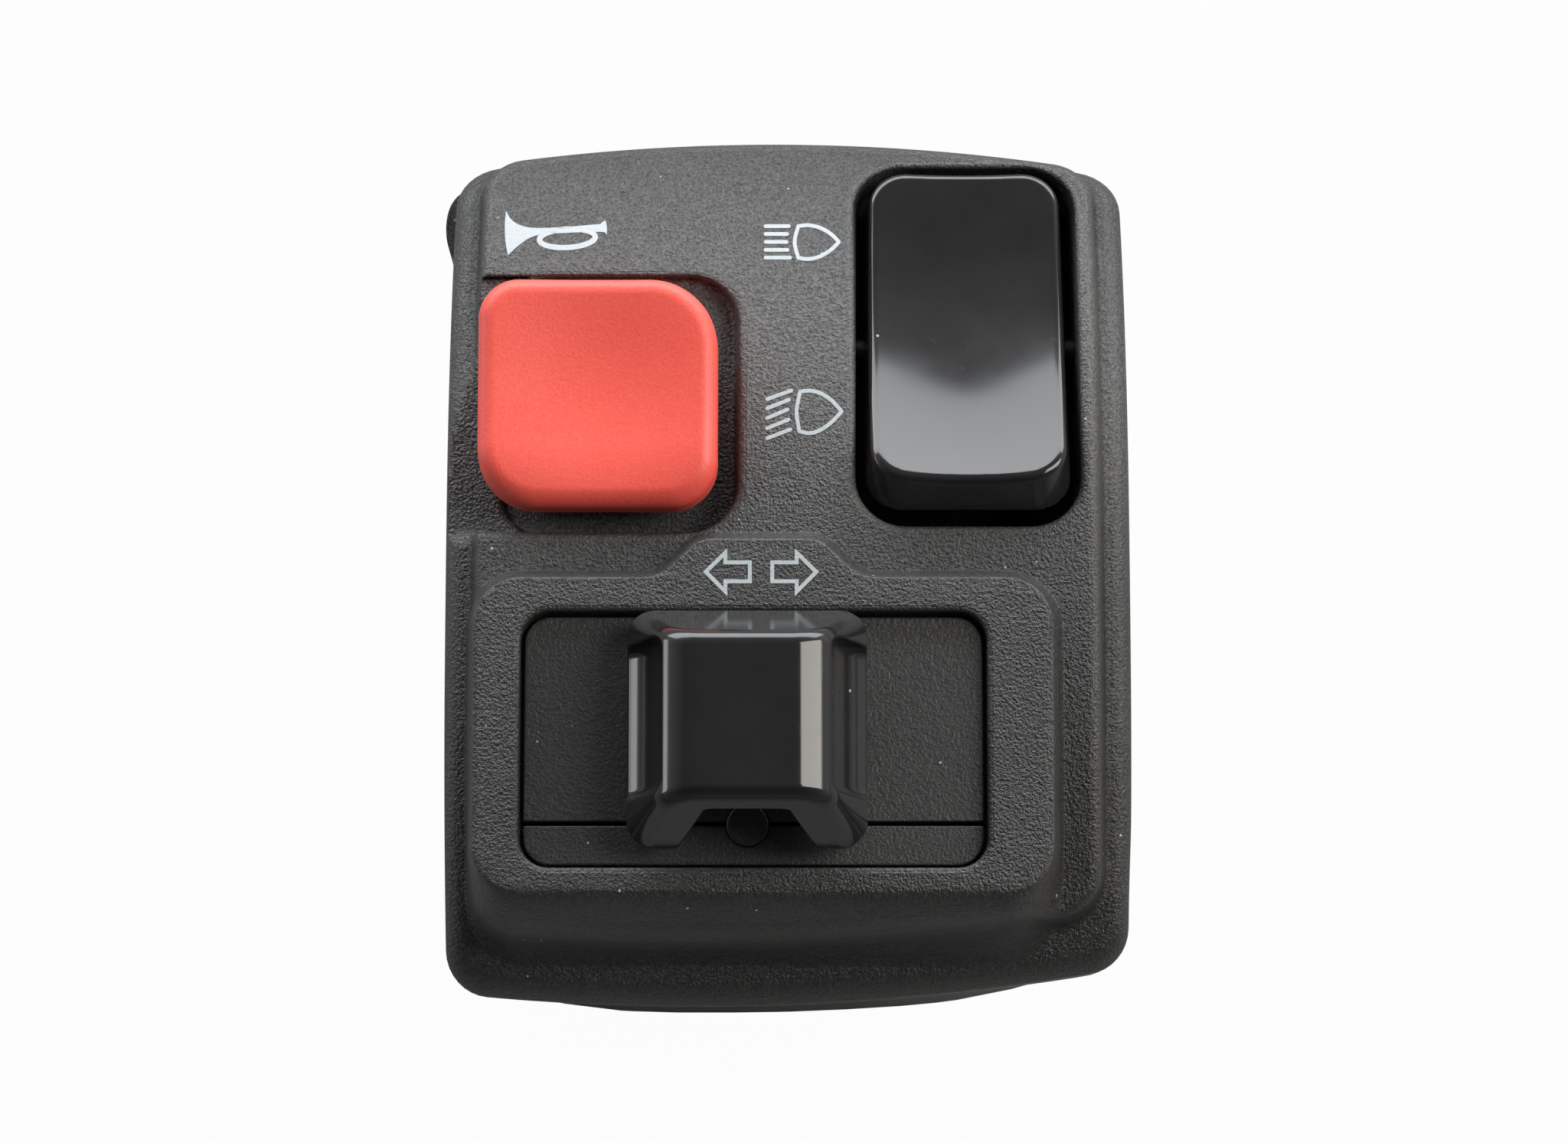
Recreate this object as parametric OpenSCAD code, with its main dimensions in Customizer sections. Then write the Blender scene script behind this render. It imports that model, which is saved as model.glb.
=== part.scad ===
// Left handlebar switch cluster: horn button, dimmer rocker and turn-signal slider in a two-part clamp housing.
// X runs along the handlebar, Y up the face, Z out of the face; the origin lies on the bar's axis.

/* [Handlebar clamp] */
// Diameter of the handlebar
bar_d = 22.2; // [20:0.1:25]
// Gap between bar and bore, on the radius
bar_clear = 0.05; // [0.02:0.01:0.15]
// Thickness of the half-round saddle over the bar
saddle_wall = 1.8; // [1.2:0.1:2.6]
// Gap between the two halves at the parting plane
split_gap = 0.3; // [0.2:0.05:0.6]
// Thickness of the rear half behind the bar
rear_wall = 3.6; // [2.8:0.1:5]
// Shank diameter of the two housing screws
screw_d = 4; // [3:0.1:4.6]
// Length of the threaded inserts
insert_l = 8; // [5:0.5:10]
// Wall of an insert
insert_wall = 1.1; // [0.8:0.1:1.5]
// Material round an insert
boss_wall = 1.4; // [1:0.1:2]
// Distance of a housing screw from the bar's surface
screw_off = 9.4; // [9:0.1:10.4]

/* [Housing] */
// Thickness of the side walls
wall = 2; // [1.6:0.1:2.4]
// Thickness of the face
face_wall = 2.2; // [1.8:0.1:2.8]
// Radius of the flat middle of the face
face_r = 150; // [110:1:240]
// Radius of the face where it bends back to the bar
end_r = 50; // [46:1:70]
// Half height of the flat middle
face_mid = 6; // [4:0.5:8]
// Width of the lower flange beside the face
ledge_w = 2.2; // [1.4:0.1:2.8]
// Width of the flange above the face
ledge_top = 0.8; // [0.6:0.1:1.4]
// Width of the flange below the face
ledge_low = 3.6; // [2.8:0.1:4.6]
// Lean of the lower wall, from the flange in to the parting plane
low_lean = 1.9; // [0:0.1:2.2]
// Depth of the flange under the face
ledge_drop = 2.6; // [1.8:0.1:3.2]
// Upper corner radius of the flange outline
rim_corner = 3.5; // [2.6:0.1:5]
// Lower corner radius of the flange outline
low_corner = 3; // [2.6:0.1:5]
// Corner radius of the face outline
face_corner = 3; // [2:0.1:4]
// Radius of the arched top edge
top_arc = 112; // [108:1:190]
// Radius of the arched bottom edge
low_arc = 170; // [140:1:240]
// Edge rounding of the flange
rim_round = 1.5; // [0.8:0.1:1.8]
// Edge rounding of the face
face_round = 0.7; // [0.4:0.1:0.9]
// Height of the turn-signal bezel over the middle of the face
bezel_h = 1.9; // [1.6:0.1:2.6]
// Height of the tab that carries the two arrows, above the bezel's top edge
tab_rise = 2.6; // [1.8:0.1:2.7]
// Width of the flat top of that tab
tab_w = 6.4; // [5:0.1:8]
// Corner radius of the bezel
bezel_corner = 3.5; // [2.5:0.1:4.5]
// Run of the sloped wall under the bezel
bezel_slope = 3.4; // [2.4:0.1:3.8]

/* [Horn] */
// Width of the horn button
horn_w = 15.8; // [14:0.1:17]
// Height of the horn button
horn_h = 15.7; // [14:0.1:16.5]
// Travel of the horn button
horn_travel = 2; // [1.2:0.1:2.4]
// Gap under the horn button
horn_gap = 1.45; // [0.7:0.05:1.8]
// Gap over the button
horn_top_gap = 1.2; // [0.7:0.1:2]
// Wider gap on the button's inner side
horn_side_gap = 1.3; // [0.8:0.1:1.8]
// Distance of the button from the outer edge of the face
horn_inset = 0.5; // [0.4:0.1:1.4]
// Depth of the pocket floor under the middle of the face
horn_depth = 4.2; // [3.6:0.1:4.6]
// Rise of the button's rim over the middle of the face
horn_rise = 2; // [1.2:0.1:3]
// Depth of the thumb dish
horn_dish = 0.9; // [0.4:0.1:1.2]

/* [Dimmer rocker] */
// Width of the rocker
rocker_w = 13.4; // [12:0.1:14.2]
// Length of the rocker's top
rocker_l = 24.7; // [23:0.1:25.2]
// Run of the sloped ends of the rocker, for each millimetre of height
rocker_draft = 0.32; // [0.2:0.01:0.36]
// Gap round the rocker
rocker_gap = 1.15; // [0.4:0.05:1.3]
// Distance of the pocket from the edge of the face
rocker_margin = 1; // [0.9:0.1:2]
// Depth of the axle under the middle of the face
axle_depth = 6.7; // [6.4:0.1:7]
// Rise of the rocker's crown over its axle
rocker_rise = 5; // [4.7:0.1:5.4]
// Slope of the rocker at rest, upper end pressed in
rocker_tilt = 22; // [20:0.5:23]
// Throw of the rocker to its other position
rocker_throw = 8; // [5:0.5:9]
// Diameter of the steel axle
axle_d = 2.4; // [2:0.1:2.8]
// Depth of the finger dish along the rocker
rocker_dish = 1.2; // [0.6:0.1:1.5]

/* [Turn-signal slider] */
// Width of the slider's window
window_w = 31.05; // [29:0.05:31.4]
// Height of the slider's window
window_h = 17.15; // [16.4:0.05:17.6]
// Corner radius of the window
window_r = 2; // [1.4:0.1:2.6]
// Frame width at the window's outer side
bezel_out = 3.2; // [2.8:0.1:4.2]
// Frame width at the window's inner side
bezel_in = 4.75; // [4:0.05:5.4]
// Frame width over the window
bezel_top = 2.65; // [2.4:0.05:3.4]
// Frame width under the window
bezel_low = 1.9; // [1.6:0.1:2.2]
// Depth of the face plate under the bezel
plate_sink = 1; // [0.6:0.1:1.4]
// Thickness of the face plate
plate_t = 1.5; // [1.2:0.1:1.9]
// Height of the lower strip
strip_h = 2.9; // [2.4:0.1:3.1]
// Gap round the face plate and along its seam
plate_gap = 0.25; // [0.15:0.05:0.35]
// Diameter of the peg under the knob
peg_d = 2.8; // [2.2:0.1:3]
// Width of the knob's foot
knob_w = 15.9; // [14.6:0.1:16.4]
// Length of the knob's foot
knob_l = 15.8; // [14.6:0.1:16]
// Width of the knob's top
knob_top_w = 8.8; // [7.5:0.1:10]
// Length of the knob's top
knob_top_l = 10.2; // [9:0.1:11]
// Height of the knob
knob_h = 8; // [7:0.1:9.5]
// Wall of the knob
knob_wall = 1.5; // [1.2:0.1:1.7]
// Slide to the left or to the right
slide_travel = 4; // [3:0.1:4.4]
// Push of the knob that cancels the signal
cancel_travel = 1.5; // [1:0.1:1.8]
// Diameter of the plunger that carries the knob
plunger_d = 4; // [3.6:0.1:4.4]

/* [Inside] */
// Thickness of the contact board
board_t = 1.6; // [1.2:0.1:2]
// Height of the switch room between board and face
room_h = 11.5; // [11.2:0.1:12.5]
// Thickness of the brass strips
strip_t = 0.4; // [0.3:0.05:0.5]
// Shank diameter of the board screws
board_screw_d = 2; // [1.6:0.1:2.4]
// Head height of the board screws
board_head_h = 1.2; // [0.9:0.1:1.4]
// Running gap between sliding pieces
run_gap = 0.3; // [0.25:0.05:0.4]
// Running gap of a pin in its bore, on the radius
pin_gap = 0.05; // [0.03:0.01:0.08]
// Width of a contact block
contact_w = 2.2; // [1.8:0.1:2.4]
// Length of a contact block
contact_l = 2.4; // [2:0.1:2.6]
// Diameter of the carriage's detent ball
ball_d = 2.4; // [2:0.1:2.6]
// Diameter of the rocker's detent ball
rocker_ball_d = 2; // [1.6:0.1:2.2]
// Bore of the cable grommet
cable_d = 5.5; // [4.5:0.1:6]

/* [Hidden] */
eps = 0.01;
bore_r = bar_d / 2 + bar_clear;
saddle_r = bore_r + saddle_wall;
half_gap = split_gap / 2;
insert_r = screw_d / 2 + pin_gap + insert_wall;
boss_r = insert_r + boss_wall;
screw_y = bar_d / 2 + screw_off;
screw_head_r = screw_d * 0.92;
screw_head_h = screw_d * 0.62;
screw_seat = -5.5;
// stack from the bar up to the face
board_z = saddle_r + board_head_h + 0.4;
board_top = board_z + board_t;
room_top = board_top + room_h;
face_z = room_top + face_wall;
bezel_z = face_z + bezel_h;
plate_z = bezel_z - plate_sink;
rest_z = plate_z - plate_t;
// widths across the face
row_top = horn_inset + horn_w + horn_side_gap + 7 + 2 * rocker_gap + rocker_w + rocker_margin;
row_low = bezel_out + window_w + bezel_in + 3;
face_w = max(row_top, row_low);
face_x0 = -face_w / 2;
face_x1 = face_w / 2;
horn_x = face_x0 + horn_inset + horn_w / 2;
horn_x1 = horn_x + horn_w / 2 + horn_side_gap;
rocker_x = face_x1 - rocker_margin - rocker_gap - rocker_w / 2;
window_x = face_x0 + bezel_out + window_w / 2;
bezel_x0 = face_x0 - 0.3;
bezel_x1 = window_x + window_w / 2 + bezel_in;
// heights up the face
window_y1 = -2.55;
window_y0 = window_y1 - window_h;
window_y = (window_y0 + window_y1) / 2;
bezel_y1 = window_y1 + bezel_top;
bezel_y0 = window_y0 - bezel_low;
pocket_y0 = bezel_y1 + 3.4;
rocker_half = rocker_l / 2;
rocker_reach = rocker_half + (rocker_rise - 1.5) * rocker_draft;
rocker_y = pocket_y0 + 13.1;
pocket_y1 = rocker_y + rocker_reach * cos(rocker_tilt - rocker_throw) + 0.85;
horn_y0 = bezel_y1 + 3.1;
horn_y = horn_y0 + horn_gap + horn_h / 2;
horn_y1 = horn_y + horn_h / 2 + horn_top_gap;
face_y1 = pocket_y1 + 1.9;
face_y0 = bezel_y0 - 2.6;
rim_y1 = face_y1 + ledge_top;
rim_y0 = face_y0 - ledge_low;
rim_x1 = face_x1 + ledge_w;
lean_z = board_top + 3;
rear_y0 = rim_y0 + low_lean;
tab_x = window_x + 0.4;
// horn stack
horn_floor = face_z - horn_depth;
horn_under = horn_floor - 1.8;
horn_low = horn_floor + horn_travel + 0.9;
horn_top = face_z + horn_rise;
stem_w = horn_w - 4.4;
stem_h = horn_h - 3.6;
clip_z = horn_under - 0.1 - 1;
horn_bridge_z = clip_z - strip_t;
horn_pad_z = horn_bridge_z - horn_travel - 0.1;
horn_coil_r = min(stem_w, stem_h) / 2 - 3.2;
// rocker stack
axle_z = face_z - axle_depth;
rocker_arm = axle_z - board_top - 2.3;
rocker_ball_r = rocker_ball_d / 2;
bridge_drop = axle_d / 2 + 1.55;
bridge_x = rocker_w / 2 - contact_w;
bridge_y = contact_l + 1;
dimmer_pad_z = axle_z - (bridge_drop + strip_t) * cos(rocker_throw / 2)
  - (bridge_y + 0.6) * sin(rocker_throw / 2) - 0.1;
// slider stack
carriage_w = 13;
carriage_l = 11;
carriage_z = board_top + 1.5;
carriage_top = rest_z - 1.4 - run_gap;
slot_w = plunger_d + 2 * slide_travel + 2 * run_gap;
slot_l = plunger_d + 2 * run_gap;
knob_x = window_x - 0.4;
knob_y = window_y + 0.35;
knob_z = plate_z + cancel_travel + run_gap;
knob_top = knob_z + knob_h;
plunger_r = plunger_d / 2;
collar_r = plunger_r + 0.7;
cancel_bore_r = collar_r + run_gap;
cancel_floor = carriage_z + 1;
cancel_spring_top = carriage_top - 1.5;
peg_y = window_y0 + strip_h;
peg_x = knob_x;
ball_r = ball_d / 2;
ball_x = knob_x - 4.5;
ball_y = knob_y + 3.5;
turn_pad_y = knob_y - 3.3;
posts = [[face_x0 + 3.2, 0.8], [face_x1 - 3.2, 0.6], [face_x0 + 6.4, horn_y1 + 3.2]];
grommet_z = bore_r * 0.78;
grommet_y = -sqrt(pow(saddle_r + cable_d / 2 + 2.5, 2) - pow(grommet_z, 2));
grommet = [rim_x1, grommet_y, grommet_z];

// outline helpers
function arc(cx, cy, r, a0, a1, n) = [for (i = [0 : n]) let (a = a0 + (a1 - a0) * i / n) [cx + r * cos(a), cy + r * sin(a)]];
function rrect(w, h, r, n = 6) = concat(
  arc(w / 2 - r, h / 2 - r, r, 0, 90, n), arc(r - w / 2, h / 2 - r, r, 90, 180, n),
  arc(r - w / 2, r - h / 2, r, 180, 270, n), arc(w / 2 - r, r - h / 2, r, 270, 360, n));
// rounded block with four corner radii, from the upper right one round to the left
function soft(w, h, r, d, n = 6) = let (a = w / 2 - d, b = h / 2 - d) concat(
  arc(a - r[0] + d, b - r[0] + d, r[0] - d, 0, 90, n), arc(r[1] - d - a, b - r[1] + d, r[1] - d, 90, 180, n),
  arc(r[2] - d - a, r[2] - d - b, r[2] - d, 180, 270, n), arc(a - r[3] + d, r[3] - d - b, r[3] - d, 270, 360, n));
// straight sides, arched top and bottom edges, rounded corners; d draws it smaller
function arch_y(x, y, r, rc, xo, s) = y - s * r + s * sqrt(pow(r - rc, 2) - pow(x - xo, 2));
function barrel(x0, x1, y0, y1, rc, rl, d, n = 6) = let (
    r = max(rc - d, 0.3), q = max(rl - d, 0.3), ta = top_arc - d, la = low_arc - d, tx = -1, lx = -6,
    ay = y1 - d, by = y0 + d, cr = x1 - d - r, cl = x0 + d + r, dr = x1 - d - q, dl = x0 + d + q,
    tr = arch_y(cr, ay, ta, r, tx, 1), tl = arch_y(cl, ay, ta, r, tx, 1),
    br = arch_y(dr, by, la, q, lx, -1), bl = arch_y(dl, by, la, q, lx, -1),
    atr = atan2(tr - ay + ta, cr - tx), atl = atan2(tl - ay + ta, cl - tx),
    abl = 360 + atan2(bl - by - la, dl - lx), abr = 360 + atan2(br - by - la, dr - lx))
  concat(arc(cr, tr, r, 0, atr, n), arc(tx, ay - ta, ta, atr, atl, 10), arc(cl, tl, r, atl, 180, n),
    arc(dl, bl, q, 180, abl, n), arc(lx, by + la, la, abl, abr, 10), arc(dr, br, q, abr, 360, n));
function rim_at(d, z) = barrel(face_x0 - ledge_w, rim_x1, rim_y0 + low_lean * max(0, 1 - max(0, z) / lean_z), rim_y1,
  rim_corner, low_corner, d);
function face(d) = barrel(face_x0, face_x1, face_y0, face_y1, face_corner, face_corner, d);
function bezel(d, low) = let (r = bezel_corner, x0 = bezel_x0 + d, x1 = bezel_x1 - d, y1 = bezel_y1 - d,
    t = tab_rise / 2, c = 2.4, a = 50, s = tab_w / 2, k = tab_x) concat(
  arc(x1 - r + d, y1 - r + d, r - d, 0, 90, 6),
  arc(k + s + 4.6, y1 + c + d, c + d, 270, 270 - a, 4), arc(k + s, y1 + tab_rise - c + d, c - d, 90 - a, 90, 4),
  arc(k - s, y1 + tab_rise - c + d, c - d, 90, 90 + a, 4), arc(k - s - 4.6, y1 + c + d, c + d, 270 + a, 270, 4),
  arc(x0 + r - d, y1 - r + d, r - d, 90, 180, 6),
  arc(x0 + r - d, low + r, r - d, 180, 270, 6), arc(x1 - r + d, low + r, r - d, 270, 360, 6));
function at_z(points, z) = [for (p = points) [p[0], p[1], z]];
function middle(points) = [for (k = [0 : 2]) let (v = [for (p = points) p[k]]) (min(v) + max(v)) / 2];
// height of the arched face, lowered square to its surface
bend = asin(face_mid / face_r);
bend_y = (face_r - end_r) * sin(bend);
bend_z = face_z - face_r + (face_r - end_r) * cos(bend);
function crown(y, drop) = abs(y) <= (face_r - drop) * sin(bend)
  ? face_z - face_r + sqrt(pow(face_r - drop, 2) - y * y)
  : bend_z + sqrt(pow(end_r - drop, 2) - pow(abs(y) - bend_y, 2));
// height lost to the rounded end of a profile
function ease(dist, r) = dist >= r ? 0 : r - sqrt(max(0, r * r - pow(r - dist, 2)));

// solid through a stack of outlines with equal point counts
module loft(rings, lift = 0) {
  n = len(rings[0]);
  m = len(rings);
  flat = [for (ring = rings) for (p = ring) p];
  lo = middle(rings[0]);
  hi = middle(rings[m - 1]) + [0, 0, lift];
  sides = [for (i = [0 : m - 2]) for (j = [0 : n - 1]) let (k = (j + 1) % n)
    for (t = [0, 1]) t == 0
      ? [(i + 1) * n + j, (i + 1) * n + k, i * n + k]
      : [(i + 1) * n + j, i * n + k, i * n + j]];
  caps = [for (j = [0 : n - 1]) let (k = (j + 1) % n) for (t = [0, 1]) t == 0
    ? [n * m, j, k]
    : [n * m + 1, (m - 1) * n + k, (m - 1) * n + j]];
  polyhedron(points = concat(flat, [lo, hi]), faces = concat(sides, caps));
}

module slab(points, z0, z1) {
  translate([0, 0, z0])
    linear_extrude(height = z1 - z0)
      polygon(points);
}

module along_x(r, x0, x1) {
  translate([x0, 0, 0])
    rotate([0, 90, 0])
      cylinder(r = r, h = x1 - x0, $fn = 64);
}

// outer outline of the housing, its lower wall leaning in under the flange
module leaning(d, z0, z1) {
  loft([at_z(rim_at(d, z0), z0), at_z(rim_at(d, lean_z), lean_z), at_z(rim_at(d, lean_z), z1)]);
}

module block(x0, x1, y0, y1, z0, z1) {
  translate([x0, y0, z0])
    cube([x1 - x0, y1 - y0, z1 - z0]);
}

// side profile of the arched face, swept along the bar
module arched(y0, y1, drop, r, z0) {
  n = 30;
  top = [for (i = [0 : n]) let (t = i / n, u = (1 - cos(180 * t)) / 2, y = y1 + (y0 - y1) * u)
    [y, crown(y, drop) - ease(min(y - y0, y1 - y), r)]];
  rotate([90, 0, 90])
    translate([0, 0, -40])
      linear_extrude(height = 80)
        polygon(concat([[y0, z0], [y1, z0]], top));
}

// block under the arched face, its long upper edges rounded, as sections from the lower end to the upper one
module arched_block(x0, x1, y0, y1, drop, r, z0) {
  n = 32;
  out = 0.05;
  loft([for (i = [0 : n]) let (u = (1 - cos(180 * i / n)) / 2, y = y0 + (y1 - y0) * u,
      z = crown(y, drop) - ease(min(y - y0, y1 - y), r))
    concat([[x0 - out, y, z0]],
      [for (k = [0 : 4]) let (a = 22.5 * k) [x0 - out + r - r * cos(a), y, z - r + r * sin(a)]],
      [for (k = [4 : -1 : 0]) let (a = 22.5 * k) [x1 + out - r + r * cos(a), y, z - r + r * sin(a)]],
      [[x1 + out, y, z0]])]);
}

module outer_form() {
  intersection() {
    leaning(0, half_gap, face_z);
    arched_block(face_x0 - ledge_w, rim_x1, rim_y0, rim_y1, ledge_drop, rim_round, 0);
  }
  intersection() {
    slab(face(0), 10, face_z + 1);
    arched_block(face_x0, face_x1, face_y0, face_y1, 0, face_round, 0);
  }
  low = bezel_y0;
  foot = crown(face_y0, ledge_drop) - 1;
  loft([
    at_z(bezel(0, low - bezel_slope), foot),
    at_z(bezel(0, low - bezel_slope), foot + 0.8),
    at_z(bezel(0, low - bezel_slope * 0.55), (foot + bezel_z) / 2 + 0.6),
    at_z(bezel(0, low - bezel_slope * 0.2), bezel_z - 0.8),
    at_z(bezel(0.2, low), bezel_z - 0.25),
    at_z(bezel(0.6, low + 0.6), bezel_z)]);
  // small moulded boss on the outer wall
  translate([face_x0 - ledge_w + 4.2, rim_y1 - 6.2, 8])
    cylinder(r = 5, h = 10, $fn = 64);
}

module front_housing() {
  color([0.13, 0.13, 0.14])
  difference() {
    union() {
      difference() {
        outer_form();
        intersection() {
          leaning(wall, -1, face_z);
          arched(rim_y0 - 1, rim_y1 + 1, ledge_drop + face_wall, 0.1, -2);
        }
        intersection() {
          slab(face(wall), -1, room_top);
          arched(rim_y0 - 1, rim_y1 + 1, face_wall, 0.1, -2);
        }
      }
      intersection() {
        leaning(wall - 0.4, half_gap, room_top + 0.4);
        arched(rim_y0 - 1, rim_y1 + 1, ledge_drop + face_wall - 0.4, 0.1, 0);
        inner_walls(0);
      }
      intersection() {
        slab(face(wall - 0.4), half_gap, room_top + 0.4);
        arched(rim_y0 - 1, rim_y1 + 1, face_wall - 0.4, 0.1, 0);
        inner_walls(0.03);
      }
    }
    front_cuts();
  }
}

// saddle, bosses and posts inside the front half
module inner_walls(grow) {
  along_x(saddle_r + grow, face_x0 - ledge_w, rim_x1);
  translate([0, screw_y, half_gap])
    cylinder(r = boss_r + grow, h = room_top - half_gap + 0.4, $fn = 48);
  translate([0, -screw_y, half_gap])
    cylinder(r = boss_r + grow, h = board_z - half_gap - 0.6, $fn = 48);
  // ribs that tie the screw bosses to the saddle
  block(-1 - grow, 1 + grow, -screw_y, 1 - saddle_r, half_gap, insert_l + 1);
  block(-1 - grow, 1 + grow, saddle_r - 1, screw_y, half_gap, insert_l + 1);
  for (p = posts)
    translate([p[0], p[1], board_top])
      cylinder(r = board_screw_d + grow, h = room_h + 0.4, $fn = 32);
  // pocket walls of the rocker, which hold its axle
  translate([rocker_x, (pocket_y0 + pocket_y1) / 2, axle_z - 2.6])
    slab(rrect(rocker_w + 2 * rocker_gap + 2.8, pocket_y1 - pocket_y0 + 2.8, 4), 0, 20);
  // floor of the horn pocket
  block(face_x0 - 1, horn_x1 + 1.4, horn_y0 - 1.4, horn_y1 + 1.4, horn_under, room_top + 0.4);
}

// bores, pockets, window and holes of the front half
module front_cuts() {
  along_x(bore_r, face_x0 - ledge_w - 1, rim_x1 + 1);
  // horn pocket, open to the flange, and its guide
  translate([horn_x1 - horn_w - 6, (horn_y0 + horn_y1) / 2, 0])
    slab(rrect(2 * horn_w + 12, horn_y1 - horn_y0, 3.4), horn_floor + 0.6, face_z + 2);
  translate([(face_x0 + 1.5 + horn_x1) / 2, (horn_y0 + horn_y1) / 2, 0])
    slab(rrect(horn_x1 - face_x0 - 1.5, horn_y1 - horn_y0, 3.4), horn_floor, face_z + 2);
  translate([horn_x, horn_y, 0])
    slab(rrect(stem_w + 2 * run_gap, stem_h + 2 * run_gap, 1.5), horn_under - 1, horn_floor + 1);
  // rocker pocket and the holes of its axle
  translate([rocker_x, (pocket_y0 + pocket_y1) / 2, 0])
    slab(rrect(rocker_w + 2 * rocker_gap, pocket_y1 - pocket_y0, 3), axle_z - 6, face_z + 2);
  translate([0, rocker_y, axle_z])
    along_x(axle_d / 2 + 0.01, rocker_x - rocker_w / 2 - rocker_gap - 1.2, rocker_x + rocker_w / 2 + rocker_gap + 1.2);
  // window of the slider
  translate([window_x, window_y, 0])
    slab(rrect(window_w, window_h, window_r), room_top - 1, bezel_z + 1);
  translate([window_x, window_y, 0])
    slab(rrect(window_w + 2.4, window_h + 1.6, window_r), room_top - 3, rest_z);
  for (s = [-1, 1])
    translate([0, s * screw_y, -1])
      cylinder(r = insert_r + 0.01, h = insert_l + half_gap + 1.2, $fn = 48);
  for (s = [-1, 1])
    translate([0, s * screw_y, -1])
      cylinder(r = screw_d / 2 + 0.2, h = board_z - 2, $fn = 48);
  for (p = posts)
    translate([p[0], p[1], board_top - 1])
      cylinder(r = board_screw_d / 2 + 0.02, h = 6.2, $fn = 24);
  translate(grommet)
    along_x(cable_d / 2 + 1.2, -4, 2);
}

module rear_housing() {
  back = -(bore_r + rear_wall);
  bow = 60;
  n = 24;
  side = [for (i = [0 : n]) let (t = i / n, y = rear_y0 + (rim_y1 - rear_y0) * (1 - cos(180 * t)) / 2)
    [y, back + bow - sqrt(bow * bow - y * y) + ease(min(y - rear_y0, rim_y1 - y), 2.5)]];
  shut = [for (i = [0 : 5]) let (a = 90 * i / 5) [rim_x1 - 3 + 3 * sin(a), back + 3 - 3 * cos(a)]];
  open_side = [for (p = side) [p[0], p[1] + 2.4]];
  color([0.12, 0.12, 0.13])
  difference() {
    intersection() {
      slab(rim_at(0.15, 0), back - 1, -half_gap);
      rotate([90, 0, 90])
        translate([0, 0, -40])
          linear_extrude(height = 80)
            polygon(concat(side, [[rim_y1, 0], [rear_y0, 0]]));
      rotate([90, 0, 0])
        translate([0, 0, -40])
          linear_extrude(height = 80)
            polygon(concat(shut, [[rim_x1, 0], [-rim_x1, 0]], [for (i = [5 : -1 : 0]) [-shut[i][0], shut[i][1]]]));
    }
    // room beside the saddle
    difference() {
      intersection() {
        slab(rim_at(wall + 0.4, 0), back + 2.4, 1);
        rotate([90, 0, 90])
          translate([0, 0, -40])
            linear_extrude(height = 80)
              polygon(concat(open_side, [[rim_y1, 2], [rear_y0, 2]]));
      }
      along_x(saddle_r, -30, 30);
      for (s = [-1, 1])
        translate([0, s * screw_y, -30])
          cylinder(r = screw_head_r + 1.8, h = 40, $fn = 48);
    }
    along_x(bore_r, -30, 30);
    for (s = [-1, 1])
      translate([0, s * screw_y, 0]) {
        translate([0, 0, -30])
          cylinder(r = screw_d / 2 + 0.2, h = 40, $fn = 48);
        translate([0, 0, -30])
          cylinder(r = screw_head_r + 0.3, h = 30 + screw_seat, $fn = 48);
      }
  }
}

module housing_screws() {
  color([0.62, 0.63, 0.65])
  for (s = [-1, 1])
    translate([0, s * screw_y, screw_seat])
      difference() {
        union() {
          cylinder(r = screw_d / 2, h = insert_l - screw_seat + half_gap - 0.4, $fn = 32);
          translate([0, 0, -screw_head_h])
            cylinder(r = screw_head_r, h = screw_head_h, $fn = 40);
        }
        for (a = [0, 90])
          rotate([0, 0, a])
            translate([-screw_d * 0.5, -0.4, -screw_head_h - 1])
              cube([screw_d, 0.8, 2.4]);
      }
}

module threaded_inserts() {
  color([0.78, 0.62, 0.28])
  for (s = [-1, 1])
    translate([0, s * screw_y, half_gap])
      difference() {
        cylinder(r = insert_r, h = insert_l, $fn = 40);
        translate([0, 0, -1])
          cylinder(r = screw_d / 2 + pin_gap, h = insert_l + 2, $fn = 40);
      }
}

module cable_grommet() {
  r = cable_d / 2;
  lip = r + 2.2;
  neck = r + 1.2 - 0.02;
  color([0.06, 0.06, 0.06])
  translate(grommet)
    rotate([0, 90, 0])
      difference() {
        union() {
          translate([0, 0, -wall - 1.2])
            cylinder(r = neck, h = wall + 2, $fn = 48);
          translate([0, 0, -wall - 1.3])
            cylinder(r = lip, h = 1.2, $fn = 48);
          translate([0, 0, 0.05])
            cylinder(r1 = lip, r2 = lip - 0.4, h = 0.9, $fn = 48);
        }
        translate([0, 0, -10])
          cylinder(r = r, h = 20, $fn = 48);
      }
}

// upper plate: its flange lies behind the edge of the window, its panel fills the opening
module slider_face_plate() {
  seam = window_y0 + strip_h + plate_gap;
  color([0.14, 0.14, 0.15])
  difference() {
    union() {
      translate([window_x, window_y, 0])
        slab(rrect(window_w - 2 * plate_gap, window_h - 2 * plate_gap, window_r - plate_gap), rest_z - 0.1, plate_z);
      translate([window_x, window_y, 0])
        slab(rrect(window_w + 2, window_h + 1.2, window_r), rest_z - 1.2, rest_z - 0.05);
    }
    block(-40, 40, -60, seam, 0, 60);
    translate([knob_x, knob_y, 0])
      slab(rrect(slot_w, slot_l, plunger_r), 0, 60);
    translate([peg_x, peg_y, 0])
      cylinder(r = peg_d / 2 + 0.01, h = 60, $fn = 40);
  }
}

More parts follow.
